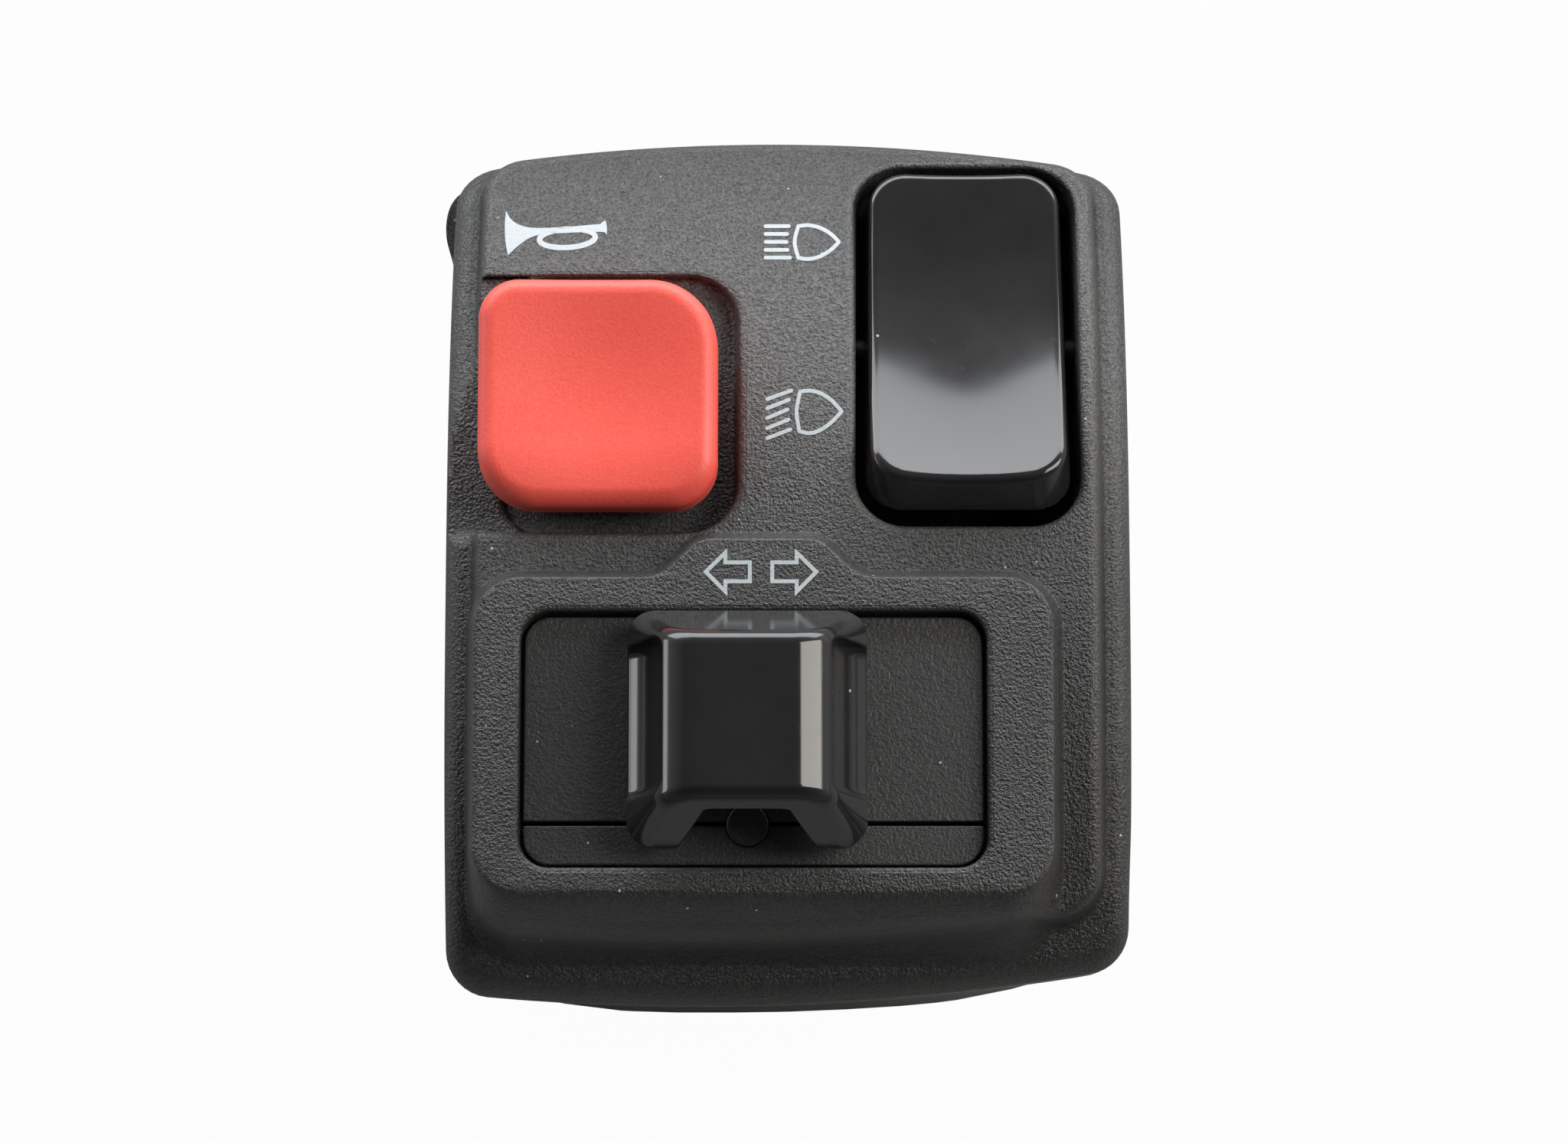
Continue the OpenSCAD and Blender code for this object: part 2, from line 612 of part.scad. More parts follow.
module slider_lower_strip() {
  color([0.14, 0.14, 0.15])
  difference() {
    union() {
      translate([window_x, window_y, 0])
        slab(rrect(window_w - 2 * plate_gap, window_h - 2 * plate_gap, window_r - plate_gap), rest_z - 0.1, plate_z - 0.1);
      translate([window_x, window_y, 0])
        slab(rrect(window_w + 2, window_h + 1.2, window_r), rest_z - 1.2, rest_z - 0.05);
    }
    block(-40, 40, window_y0 + strip_h, 60, 0, 60);
    translate([peg_x, peg_y, 0])
      cylinder(r = peg_d / 2 + 0.01, h = 60, $fn = 40);
  }
}

module slider_peg() {
  color([0.1, 0.1, 0.1])
  translate([peg_x, peg_y, rest_z - 1])
    cylinder(r = peg_d / 2, h = plate_t + 1.15, $fn = 40);
}

module contact_board() {
  color([0.07, 0.07, 0.07])
  difference() {
    union() {
      slab(rim_at(wall + 0.8, board_z), board_z, board_top);
      // side guides of the carriage
      for (s = [-1, 1])
        translate([knob_x, knob_y + s * (carriage_l / 2 + run_gap + 0.8), 0])
          block(-carriage_w / 2 - slide_travel - 1, carriage_w / 2 + slide_travel + 1, -0.8, 0.8,
            board_top, rest_z - 1.25);
    }
    translate([0, screw_y, 0])
      cylinder(r = boss_r + 0.4, h = 60, $fn = 48);
    for (p = posts)
      translate([p[0], p[1], 0])
        cylinder(r = board_screw_d / 2 + 0.2, h = 60, $fn = 24);
    // slot for the end of the cancel plunger
    translate([knob_x, knob_y, 0])
      slab(rrect(2 * slide_travel + 4.6, 4.4, 2), board_z - 1, board_top + 1);
    for (p = concat(horn_pins(), dimmer_pins(), turn_pins()))
      translate([p[0], p[1], 0])
        cylinder(r = 0.75, h = 60, $fn = 24);
  }
}

module board_screws() {
  color([0.66, 0.67, 0.69])
  for (p = posts)
    translate([p[0], p[1], board_z]) {
      cylinder(r = board_screw_d / 2, h = board_t + 4.6, $fn = 24);
      translate([0, 0, -board_head_h])
        cylinder(r = board_screw_d * 0.95, h = board_head_h, $fn = 24);
    }
}

function horn_pins() = [for (s = [-1, 1]) [horn_x + s * (stem_w / 2 - 0.2), horn_y]];
function dimmer_pins() = [for (s = [-1, 1]) [rocker_x + bridge_x, rocker_y + s * bridge_y]];
function turn_pins() = [for (i = [-1 : 1]) [knob_x + i * slide_travel, turn_pad_y]];

// contact block with its soldering pin through the board
module pad(x, y, w, l, top) {
  translate([x, y, 0]) {
    block(-w / 2, w / 2, -l / 2, l / 2, board_top, top);
    translate([0, 0, board_z - 2])
      cylinder(r = 0.6, h = board_t + 2.1, $fn = 24);
  }
}

module horn_contacts() {
  color([0.8, 0.62, 0.26])
  for (p = horn_pins())
    pad(p[0], p[1], contact_w, contact_l * 1.6, horn_pad_z);
}

module dimmer_contacts() {
  color([0.8, 0.62, 0.26])
  for (p = dimmer_pins())
    pad(p[0], p[1], contact_w, contact_l, dimmer_pad_z);
}

module turn_contacts() {
  color([0.8, 0.62, 0.26])
  for (p = turn_pins())
    pad(p[0], p[1], contact_w * 1.2, contact_l * 0.7, carriage_z - strip_t - 0.1);
}

module dimmer_axle() {
  reach = rocker_w / 2 + rocker_gap + 1.15;
  color([0.7, 0.71, 0.73])
  translate([0, rocker_y, axle_z])
    along_x(axle_d / 2, rocker_x - reach, rocker_x + reach);
}

// strip with three seats under the carriage's ball
module turn_detent_rail() {
  color([0.7, 0.71, 0.73])
  translate([ball_x, ball_y, board_top])
    difference() {
      block(-slide_travel - 2.4, slide_travel + 2.4, -1.2, 1.2, 0, 0.9);
      for (i = [-1 : 1])
        translate([i * slide_travel, 0, 0.9 + ball_r * 0.55])
          sphere(r = ball_r, $fn = 32);
    }
}

// curved seat with two notches under the rocker's ball
module dimmer_detent_track() {
  tip = axle_z - board_top;
  color([0.85, 0.85, 0.82])
  translate([rocker_x, rocker_y, 0])
    difference() {
      block(-2.4, 2.4, -4, 4, board_top, board_top + 1.6);
      translate([0, 0, axle_z])
        along_x(tip - 0.9, -10, 10);
      for (s = [-1, 1])
        translate([0, 0, axle_z])
          rotate([s * rocker_throw / 2, 0, 0])
            translate([0, 0, -tip + 0.9])
              along_x(0.5, -10, 10);
    }
}

// red cap with a thumb dish, over a hollow guide block
module horn_button() {
  r = [4.4, 2.6, 4, 3.2];
  top = horn_top;
  color([0.83, 0.12, 0.1])
  translate([horn_x, horn_y, 0])
    difference() {
      union() {
        loft([
          at_z(soft(horn_w, horn_h, r, 0.25), horn_low),
          at_z(soft(horn_w, horn_h, r, 0), horn_low + 0.6),
          at_z(soft(horn_w, horn_h, r, 0.05), top - 1.1),
          at_z(soft(horn_w, horn_h, r, 0.35), top - 0.4),
          at_z(soft(horn_w, horn_h, r, 0.9), top - 0.08),
          at_z(soft(horn_w, horn_h, r, 1.4), top),
          at_z(soft(horn_w, horn_h, r, 2), top - 0.12)], 0.12 - horn_dish);
        slab(rrect(stem_w, stem_h, 1.2), clip_z + 1.05, horn_low + 0.8);
      }
      slab(rrect(stem_w - 2.6, stem_h - 2.6, 0.6), clip_z - 1, top - 2.2);
    }
}

// plate that keeps the button in its guide; the spring stands in its cup
module horn_clip() {
  color([0.9, 0.9, 0.86])
  translate([horn_x, horn_y, 0])
    difference() {
      union() {
        slab(rrect(stem_w + 0.8, stem_h + 1.6, 1.6), clip_z, clip_z + 1);
        translate([0, 0, clip_z + 0.9])
          cylinder(r = horn_coil_r + 1.5, h = 3.3, $fn = 40);
      }
      translate([0, 0, clip_z - 1])
        cylinder(r = horn_coil_r + 0.6, h = 4.2, $fn = 40);
    }
}

module horn_contact_bridge() {
  color([0.82, 0.64, 0.28])
  translate([horn_x, horn_y, horn_bridge_z])
    difference() {
      block(-stem_w / 2 - 0.4, stem_w / 2 + 0.4, -horn_coil_r - 1.7, horn_coil_r + 1.7, 0, strip_t);
      translate([0, 0, -1])
        cylinder(r = horn_coil_r + 0.6, h = 3, $fn = 40);
    }
}

// helical compression spring, one unbroken tube
module coil(r, wire, turns, z0, z1) {
  per = 8;
  n = turns * per;
  pitch = (z1 - z0 - wire) / turns;
  echo(coil_gap = pitch - wire);
  ring = [for (i = [0 : n]) let (a = 360 * i / per, z = z0 + wire / 2 + (z1 - z0 - wire) * i / n)
    for (k = [0 : 5]) let (b = 60 * k, q = r + wire / 2 * cos(b)) [q * cos(a), q * sin(a), z + wire / 2 * sin(b)]];
  sides = [for (i = [0 : n - 1]) for (k = [0 : 5]) let (m = (k + 1) % 6)
    for (t = [0, 1]) t == 0
      ? [i * 6 + k, (i + 1) * 6 + m, (i + 1) * 6 + k]
      : [i * 6 + k, i * 6 + m, (i + 1) * 6 + m]];
  ends = [for (k = [1 : 4]) for (t = [0, 1]) t == 0 ? [0, k + 1, k] : [n * 6, n * 6 + k, n * 6 + k + 1]];
  polyhedron(points = ring, faces = concat(sides, ends));
}

module horn_spring() {
  color([0.72, 0.73, 0.75])
  translate([horn_x, horn_y, 0])
    coil(horn_coil_r, 0.5, 5, board_top + 0.02, clip_z + 3.15);
}

// gloss rocker with drafted ends and a finger dish, turned to its rest slope
module dimmer_rocker() {
  w = rocker_w;
  l = rocker_l;
  up = rocker_rise;
  low = 1.5;
  dish_r = (pow(l / 2, 2) + pow(rocker_dish, 2)) / (2 * rocker_dish);
  color([0.05, 0.05, 0.05])
  translate([rocker_x, rocker_y, axle_z])
    difference() {
      union() {
        rotate([-rocker_tilt, 0, 0])
          difference() {
            loft([
              at_z(rrect(w - 0.5, 2 * rocker_reach - 0.6, 2.2), low - 0.4),
              at_z(rrect(w, 2 * rocker_reach, 2.4), low),
              at_z(rrect(w - 0.5, l + 2 * rocker_draft * 1.1, 2.4), up - 1.1),
              at_z(rrect(w - 0.9, l + 2 * rocker_draft * 0.2, 2.3), up - 0.35),
              at_z(rrect(w - 1.7, l - 1, 2), up)]);
            translate([0, 0, up + dish_r - rocker_dish])
              rotate([0, 90, 0])
                cylinder(r = dish_r, h = 2 * w, center = true, $fn = 360);
            slab(rrect(w - 3, l - 3, 1.4), low - 2, up - rocker_dish - 1.3);
          }
        // hub with the arm that holds spring and ball
        along_x(axle_d / 2 + 1.5, -w / 2 + 0.8, w / 2 - 0.8);
        rotate([-rocker_throw / 2, 0, 0])
          translate([0, 0, -rocker_arm])
            cylinder(r = 2.2, h = rocker_arm, $fn = 40);
      }
      along_x(axle_d / 2 + pin_gap, -20, 20);
      rotate([-rocker_throw / 2, 0, 0])
        translate([0, 0, -rocker_arm - 1])
          cylinder(r = rocker_ball_r + pin_gap, h = rocker_arm - axle_d / 2 + 0.4, $fn = 40);
    }
}

module in_arm() {
  translate([rocker_x, rocker_y, axle_z])
    rotate([-rocker_throw / 2, 0, 0])
      children();
}

module dimmer_spring() {
  color([0.72, 0.73, 0.75])
  in_arm()
    coil(rocker_ball_r - 0.25, 0.3, 2, -(axle_z - board_top) + 1.1 + rocker_ball_d, -axle_d / 2 - 0.65);
}

module dimmer_ball() {
  color([0.8, 0.81, 0.83])
  in_arm()
    translate([0, 0, -(axle_z - board_top) + 1.05 + rocker_ball_r])
      sphere(r = rocker_ball_r, $fn = 40);
}

module dimmer_contact_bridge() {
  color([0.82, 0.64, 0.28])
  in_arm()
    block(bridge_x - contact_w * 0.45, bridge_x + contact_w * 0.45, -bridge_y - 0.6, bridge_y + 0.6,
      -bridge_drop - strip_t, -bridge_drop);
}

module turn_carriage() {
  color([0.88, 0.88, 0.84])
  translate([knob_x, knob_y, 0])
    difference() {
      slab(rrect(carriage_w, carriage_l, 1), carriage_z, carriage_top);
      // stepped bore of the cancel plunger
      translate([0, 0, cancel_floor])
        cylinder(r = cancel_bore_r, h = 30, $fn = 48);
      translate([0, 0, carriage_z - 1])
        cylinder(r = plunger_r * 0.55 + pin_gap, h = 30, $fn = 40);
      // room of the detent spring and ball
      translate([ball_x - knob_x, ball_y - knob_y, carriage_z - 1])
        cylinder(r = ball_r + pin_gap, h = carriage_top - carriage_z, $fn = 40);
    }
}

module turn_contact_bridge() {
  color([0.82, 0.64, 0.28])
  translate([knob_x, turn_pad_y, carriage_z - strip_t])
    difference() {
      block(-slide_travel - 1.2, slide_travel + 1.2, -1.5, 0.8, 0, strip_t);
      for (s = [-1, 1])
        translate([s * slide_travel / 2, -0.35, -1])
          cylinder(r = 0.5, h = 3, $fn = 24);
    }
}

module turn_detent_spring() {
  color([0.72, 0.73, 0.75])
  translate([ball_x, ball_y, 0])
    coil(ball_r - 0.35, 0.35, 4, board_top + 1 + ball_d + 0.1, carriage_top - 1.1);
}

module turn_detent_ball() {
  color([0.8, 0.81, 0.83])
  translate([ball_x, ball_y, board_top + 1 + ball_r])
    sphere(r = ball_r, $fn = 40);
}

module cancel_spring() {
  color([0.72, 0.73, 0.75])
  translate([knob_x, knob_y, 0])
    coil(plunger_r - 0.1, 0.4, 3, cancel_floor + 0.02, cancel_spring_top - 0.02);
}

// hollow finger knob: tapered, scooped at both sides, open at the foot of its lower flank
module turn_knob() {
  w = knob_w;
  l = knob_l;
  tw = knob_top_w;
  tl = knob_top_l;
  h = knob_h;
  scoop = 7;
  peg_room = w * 0.3;
  color([0.05, 0.05, 0.05])
  translate([knob_x, knob_y, knob_z])
    difference() {
      union() {
        difference() {
          loft([
            at_z(rrect(w - 0.3, l - 0.3, 1.8), 0),
            at_z(rrect(w, l, 1.9), 0.4),
            at_z(rrect(w - 0.2, l - 0.2, 1.9), 1.3),
            at_z(rrect(tw + 1.6, tl + 1.4, 1.8), h - 1.1),
            at_z(rrect(tw + 0.7, tl + 0.6, 1.6), h - 0.4),
            at_z(rrect(tw - 0.6, tl - 0.6, 1.2), h)]);
          loft([
            at_z(rrect(w - 2 * knob_wall, l - 2 * knob_wall, 1), -0.5),
            at_z(rrect(w - 2 * knob_wall, l - 2 * knob_wall, 1), 1),
            at_z(rrect(tw - knob_wall * 1.2, tl - knob_wall, 0.8), h - 1.8)]);
          // finger scoops
          for (s = [-1, 1])
            translate([s * (w / 2 + scoop - 1.9), 0, h * 0.66])
              rotate([90, 0, 0])
                translate([0, 0, -l / 2 + 2.2])
                  cylinder(r = scoop, h = l - 4.4, $fn = 64);
        }
        translate([0, 0, 0.6])
          cylinder(r = plunger_r + 1.3, h = h - 1.4, $fn = 40);
      }
      // opening over the peg
      translate([0, -l / 2 - 1, 0])
        rotate([-90, 0, 0])
          linear_extrude(height = 3.4)
            polygon([[-peg_room - 0.4, 1], [peg_room + 0.4, 1], [peg_room - 2, -knob_h + 1.8], [2 - peg_room, -knob_h + 1.8]]);
      translate([0, 0, -1])
        cylinder(r = plunger_r + 0.01, h = h - 0.8, $fn = 40);
    }
}

module cancel_plunger() {
  color([0.75, 0.76, 0.78])
  translate([knob_x, knob_y, 0])
    difference() {
      union() {
        translate([0, 0, cancel_spring_top])
          cylinder(r = plunger_r, h = knob_z + knob_h - 1.9 - cancel_spring_top, $fn = 40);
        translate([0, 0, cancel_spring_top])
          cylinder(r = collar_r, h = 1, $fn = 40);
        translate([0, 0, carriage_z - 1])
          cylinder(r = plunger_r * 0.55, h = cancel_spring_top - carriage_z + 1.1, $fn = 40);
      }
    }
}

module plunger_clip() {
  color([0.6, 0.61, 0.63])
  translate([knob_x, knob_y, carriage_z - 0.75])
    difference() {
      cylinder(r = plunger_r * 0.55 + 0.8, h = 0.4, $fn = 32);
      translate([0, 0, -1])
        cylinder(r = plunger_r * 0.55 + 0.01, h = 3, $fn = 32);
    }
}

front_housing();
rear_housing();
housing_screws();
threaded_inserts();
cable_grommet();
slider_face_plate();
slider_lower_strip();
slider_peg();
contact_board();
board_screws();
horn_contacts();
dimmer_contacts();
turn_contacts();
dimmer_axle();
turn_detent_rail();
dimmer_detent_track();
horn_button();
horn_clip();
horn_contact_bridge();
horn_spring();
dimmer_rocker();
dimmer_spring();
dimmer_ball();
dimmer_contact_bridge();
turn_carriage();
turn_contact_bridge();
turn_detent_spring();
turn_detent_ball();
cancel_spring();
turn_knob();
cancel_plunger();
plunger_clip();
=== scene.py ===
import bmesh
import bpy
import numpy as np
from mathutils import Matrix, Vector
from mathutils.geometry import delaunay_2d_cdt


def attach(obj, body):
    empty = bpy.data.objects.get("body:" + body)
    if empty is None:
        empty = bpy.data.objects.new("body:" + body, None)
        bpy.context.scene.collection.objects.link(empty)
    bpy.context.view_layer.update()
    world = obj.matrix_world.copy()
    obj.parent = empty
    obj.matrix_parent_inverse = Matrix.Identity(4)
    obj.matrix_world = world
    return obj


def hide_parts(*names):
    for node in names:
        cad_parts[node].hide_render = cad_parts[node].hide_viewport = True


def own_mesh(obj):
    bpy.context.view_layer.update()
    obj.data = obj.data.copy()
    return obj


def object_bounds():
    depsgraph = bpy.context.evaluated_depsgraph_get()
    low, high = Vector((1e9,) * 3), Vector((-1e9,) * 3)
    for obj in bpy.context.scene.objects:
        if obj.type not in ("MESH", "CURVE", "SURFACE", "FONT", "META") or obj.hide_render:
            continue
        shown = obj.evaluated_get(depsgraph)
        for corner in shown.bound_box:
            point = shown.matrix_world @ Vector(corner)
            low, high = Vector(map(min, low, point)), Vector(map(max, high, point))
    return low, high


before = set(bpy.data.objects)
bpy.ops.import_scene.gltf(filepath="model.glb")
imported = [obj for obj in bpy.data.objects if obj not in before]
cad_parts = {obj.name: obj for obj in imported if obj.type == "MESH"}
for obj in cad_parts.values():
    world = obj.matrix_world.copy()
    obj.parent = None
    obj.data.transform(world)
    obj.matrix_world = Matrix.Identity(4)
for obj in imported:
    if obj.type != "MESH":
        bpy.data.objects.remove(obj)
cad_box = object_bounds()
scene = bpy.context.scene
scene.view_settings.view_transform = "Standard"
MM = 0.001


# Camera: it looks down on the face from the rider's side, ten degrees off square,
# about 350 mm away, in a frame of 2048 by 1493 pixels.
FRAME_W, FRAME_H = 2048, 1493
AIM_PX = (1029.0, 755.0)
FACE_Z = 29.85
VIEW_TILT = np.radians(10)
VIEW_DIST = 350.0
FOCAL_PX = 19.5 * VIEW_DIST
view_ahead = np.array([0, np.sin(VIEW_TILT), -np.cos(VIEW_TILT)])
view_up = np.array([0, np.cos(VIEW_TILT), np.sin(VIEW_TILT)])
eye = np.array([0, 0, FACE_Z]) - VIEW_DIST * view_ahead
lens = bpy.data.cameras.new("camera")
lens.sensor_fit = "HORIZONTAL"
lens.sensor_width = 36
lens.lens = 36 * FOCAL_PX / FRAME_W
lens.shift_x = (FRAME_W / 2 - AIM_PX[0]) / FRAME_W
lens.shift_y = (AIM_PX[1] - FRAME_H / 2) / FRAME_W
lens.clip_start = 0.01
camera = bpy.data.objects.new("camera", lens)
camera.location = eye * MM
camera.rotation_euler = (VIEW_TILT, 0, 0)
scene.collection.objects.link(camera)
scene.camera = camera


# Studio: a white sweep on which the cluster lies, a cool window light beyond its upper edge and a warm one
# at its right, both low, under a dim ceiling, so that gloss shows them in its turned-away edges only.
def wire(tree, out, name, to):
    tree.links.new(out.outputs[name], to)


def seen_white(tree, fill, share):
    light_path = tree.nodes.new("ShaderNodeLightPath")
    seen = tree.nodes.new("ShaderNodeMath")
    seen.operation = "MAXIMUM"
    wire(tree, light_path, "Is Camera Ray", seen.inputs[0])
    wire(tree, light_path, "Is Transmission Ray", seen.inputs[1])
    part_of = tree.nodes.new("ShaderNodeMath")
    part_of.operation = "MULTIPLY"
    part_of.inputs[1].default_value = share
    wire(tree, seen, 0, part_of.inputs[0])
    in_sky = fill.bl_idname == "ShaderNodeBackground"
    white = tree.nodes.new("ShaderNodeBackground" if in_sky else "ShaderNodeEmission")
    white.inputs["Color"].default_value = (1, 1, 1, 1)
    mix = tree.nodes.new("ShaderNodeMixShader")
    wire(tree, part_of, 0, mix.inputs[0])
    wire(tree, fill, 0, mix.inputs[1])
    wire(tree, white, 0, mix.inputs[2])
    return mix


world = bpy.data.worlds.new("studio")
world.use_nodes = True
sky = world.node_tree
sky.nodes.clear()
heading = sky.nodes.new("ShaderNodeTexCoord")
height_of = sky.nodes.new("ShaderNodeSeparateXYZ")
wire(sky, heading, "Generated", height_of.inputs[0])
dome = sky.nodes.new("ShaderNodeValToRGB")
dome.color_ramp.elements[0].position = 0.15
dome.color_ramp.elements[0].color = (0.82, 0.82, 0.84, 1)
dome.color_ramp.elements[1].position = 0.72
dome.color_ramp.elements[1].color = (0.16, 0.16, 0.165, 1)
wire(sky, height_of, "Z", dome.inputs[0])
dome_light = sky.nodes.new("ShaderNodeBackground")
wire(sky, dome, "Color", dome_light.inputs["Color"])
sunny_side = sky.nodes.new("ShaderNodeMapRange")
sunny_side.interpolation_type = "SMOOTHSTEP"
for label, value in (("From Min", -0.6), ("From Max", 0.7), ("To Min", 0.24), ("To Max", 1.2)):
    sunny_side.inputs[label].default_value = value
wire(sky, height_of, "Y", sunny_side.inputs["Value"])
wire(sky, sunny_side, "Result", dome_light.inputs["Strength"])
sky_out = sky.nodes.new("ShaderNodeOutputWorld")
wire(sky, seen_white(sky, dome_light, 1.0), 0, sky_out.inputs[0])
scene.world = world

floor_white = bpy.data.materials.new("floor_white")
floor_white.use_nodes = True
tree = floor_white.node_tree
tree.nodes.clear()
matt = tree.nodes.new("ShaderNodeBsdfDiffuse")
matt.inputs["Color"].default_value = (0.36, 0.36, 0.36, 1)
floor_out = tree.nodes.new("ShaderNodeOutputMaterial")
wire(tree, seen_white(tree, matt, 0.97), 0, floor_out.inputs[0])
sheet = bpy.data.meshes.new("floor")
low = cad_box[0][2]
sheet.from_pydata([(-3, -3, low), (3, -3, low), (3, 3, low), (-3, 3, low)], [], [(0, 1, 2, 3)])
sheet.materials.append(floor_white)
floor = bpy.data.objects.new("floor", sheet)
scene.collection.objects.link(floor)

for name, place, size, power, tint in (
        ("window_light", (-0.05, 0.71, 0.215), (1.6, 0.42), 11.8, (0.94, 0.97, 1.0)),
        ("side_light", (0.44, 0.1, 0.44), (0.28, 0.5), 3.3, (1.0, 0.96, 0.9)),
        ("left_light", (-0.65, 0.1, 0.075), (0.3, 0.13), 0.5, (1.0, 0.98, 0.96))):
    lamp = bpy.data.lights.new(name, "AREA")
    lamp.shape = "RECTANGLE"
    lamp.size, lamp.size_y = size
    lamp.energy = power
    lamp.color = tint
    stand = bpy.data.objects.new(name, lamp)
    stand.location = place
    stand.rotation_euler = (Vector((0, 0, 0.02)) - Vector(place)).to_track_quat("-Z", "Y").to_euler()
    scene.collection.objects.link(stand)


# Front housing: the half that faces the rider, moulded in black plastic with a spark-eroded grain.
# One arched face on a lower flange carries the raised slider bezel, the horn pocket and the rocker pocket.
FACE_R, END_R, FACE_MID = 150.0, 50.0, 6.0
LEDGE_DROP, RIM_ROUND, PART_Z = 2.6, 1.5, 0.15
BEZEL_Z, BORE_R = 31.75, 11.15
RIM_X, RIM_Y0, RIM_Y1 = 23.19, -27.77, 33.2
FACE_X, FACE_Y0, FACE_Y1 = 21.0, -24.2, 32.42
HORN_X, HORN_Y, HORN_FLOOR = -12.6, 12.5, 25.65
ROCKER_X, ROCKER_Y, AXLE_Z = 12.15, 16.6, 23.15
WINDOW = (-2.275, -11.125, 31.05, 17.15, 2.0)
LEAN, LEAN_Z, LEAN_Y, LEAN_RUN = 1.9, 19.15, -15, 6
SHELL = 0.5


def arc(cx, cy, r, a0, a1, n=8):
    a = np.radians(np.linspace(a0, a1, n + 1))
    return np.column_stack([cx + r * np.cos(a), cy + r * np.sin(a)])


def rounded(cx, cy, w, h, r):
    a, b = w / 2 - r, h / 2 - r
    return np.vstack([arc(cx + a, cy + b, r, 0, 90), arc(cx - a, cy + b, r, 90, 180),
                      arc(cx - a, cy - b, r, 180, 270), arc(cx + a, cy - b, r, 270, 360)])


def barrel(x0, x1, y0, y1, corner, low_corner, top_arc=112.0, low_arc=170.0, top_x=-1.0, low_x=-6.0):
    cr, cl, dr, dl = x1 - corner, x0 + corner, x1 - low_corner, x0 + low_corner
    up = lambda x: y1 - top_arc + np.sqrt((top_arc - corner) ** 2 - (x - top_x) ** 2)
    down = lambda x: y0 + low_arc - np.sqrt((low_arc - low_corner) ** 2 - (x - low_x) ** 2)
    turn = lambda x, y, cx, cy: np.degrees(np.arctan2(y - cy, x - cx))
    tr, tl = turn(cr, up(cr), top_x, y1 - top_arc), turn(cl, up(cl), top_x, y1 - top_arc)
    bl, br = 360 + turn(dl, down(dl), low_x, y0 + low_arc), 360 + turn(dr, down(dr), low_x, y0 + low_arc)
    return np.vstack([arc(cr, up(cr), corner, 0, tr), arc(top_x, y1 - top_arc, top_arc, tr, tl, 40)[1:-1],
                      arc(cl, up(cl), corner, tl, 180), arc(dl, down(dl), low_corner, 180, bl),
                      arc(low_x, y0 + low_arc, low_arc, bl, br, 40)[1:-1],
                      arc(dr, down(dr), low_corner, br, 360)])


def bezel_line(x0=-21.3, x1=18.0, y0=-21.6, y1=0.1, r=3.5, tab_x=-1.875, tab=3.2, rise=2.6, c=2.4):
    return np.vstack([
        arc(x1 - r, y1 - r, r, 0, 90), arc(tab_x + tab + 4.6, y1 + c, c, 270, 220, 6),
        arc(tab_x + tab, y1 + rise - c, c, 40, 90, 6), arc(tab_x - tab, y1 + rise - c, c, 90, 140, 6),
        arc(tab_x - tab - 4.6, y1 + c, c, 320, 270, 6), arc(x0 + r, y1 - r, r, 90, 180),
        arc(x0 + r, y0 + r, r, 180, 270), arc(x1 - r, y0 + r, r, 270, 360)])


def dense(line, step):
    ends = np.roll(line, -1, axis=0)
    out = []
    for a, b in zip(line, ends):
        n = max(1, int(np.ceil(np.linalg.norm(b - a) / step)))
        if np.linalg.norm(b - a) > 1e-6:
            out.append(a + (b - a) * np.arange(n)[:, None] / n)
    return np.vstack(out)


def outward(line):
    t = np.roll(line, -1, axis=0) - np.roll(line, 1, axis=0)
    n = np.column_stack([t[:, 1], -t[:, 0]])
    return n / np.linalg.norm(n, axis=1)[:, None]


def inset(line, depth):
    return line - outward(line) * np.reshape(depth, (-1, 1))


def depth_in(p, line):
    """Distance inside an outline, negative outside."""
    a, b = line, np.roll(line, -1, axis=0)
    best = np.full(len(p), 1e9)
    crossings = np.zeros(len(p), bool)
    for s, e in zip(a, b):
        d = e - s
        t = np.clip(((p - s) @ d) / max(d @ d, 1e-12), 0, 1)
        gap = p - s - t[:, None] * d
        dist = np.hypot(gap[:, 0], gap[:, 1])
        best = np.minimum(best, dist)
        spans = (s[1] > p[:, 1]) != (e[1] > p[:, 1])
        if abs(d[1]) > 1e-12:
            crossings ^= spans & (p[:, 0] < s[0] + (p[:, 1] - s[1]) * d[0] / d[1])
    return np.where(crossings, best, -best)


def crown(y, drop=0.0):
    bend = np.arcsin(FACE_MID / FACE_R)
    by, bz = (FACE_R - END_R) * np.sin(bend), FACE_Z - FACE_R + (FACE_R - END_R) * np.cos(bend)
    flat = FACE_Z - FACE_R + np.sqrt((FACE_R - drop) ** 2 - y * y)
    bent = bz + np.sqrt(np.maximum((END_R - drop) ** 2 - (np.abs(y) - by) ** 2, 0))
    return np.where(np.abs(y) <= (FACE_R - drop) * np.sin(bend), flat, bent)


def wall_up(d, h, top, foot, run):
    """Height of a wall with a rounded top edge and foot; d is the distance inside its top edge."""
    h = np.maximum(h, 0)
    k = np.minimum(1, h / (top + foot))
    top, foot = np.maximum(top * k, 1e-6), np.maximum(foot * k, 1e-6)
    over = np.clip(d, 0, top)
    under = np.clip(d + run + foot, 0, foot)
    z = np.where(d >= 0, h - top + np.sqrt(np.maximum(top ** 2 - (top - over) ** 2, 0)),
                 foot + (h - top - foot) * np.clip(1 + d / run, 0, 1))
    z = np.where(d < -run, foot - np.sqrt(np.maximum(foot ** 2 - under ** 2, 0)), z)
    return np.where(h > 0, z, 0)


CORNER_TAPER, TAPER_Y, TAPER_RUN, TAPER_X = 0.1, -15, 6, 20


def eased(t):
    return t * t * (3 - 2 * t)


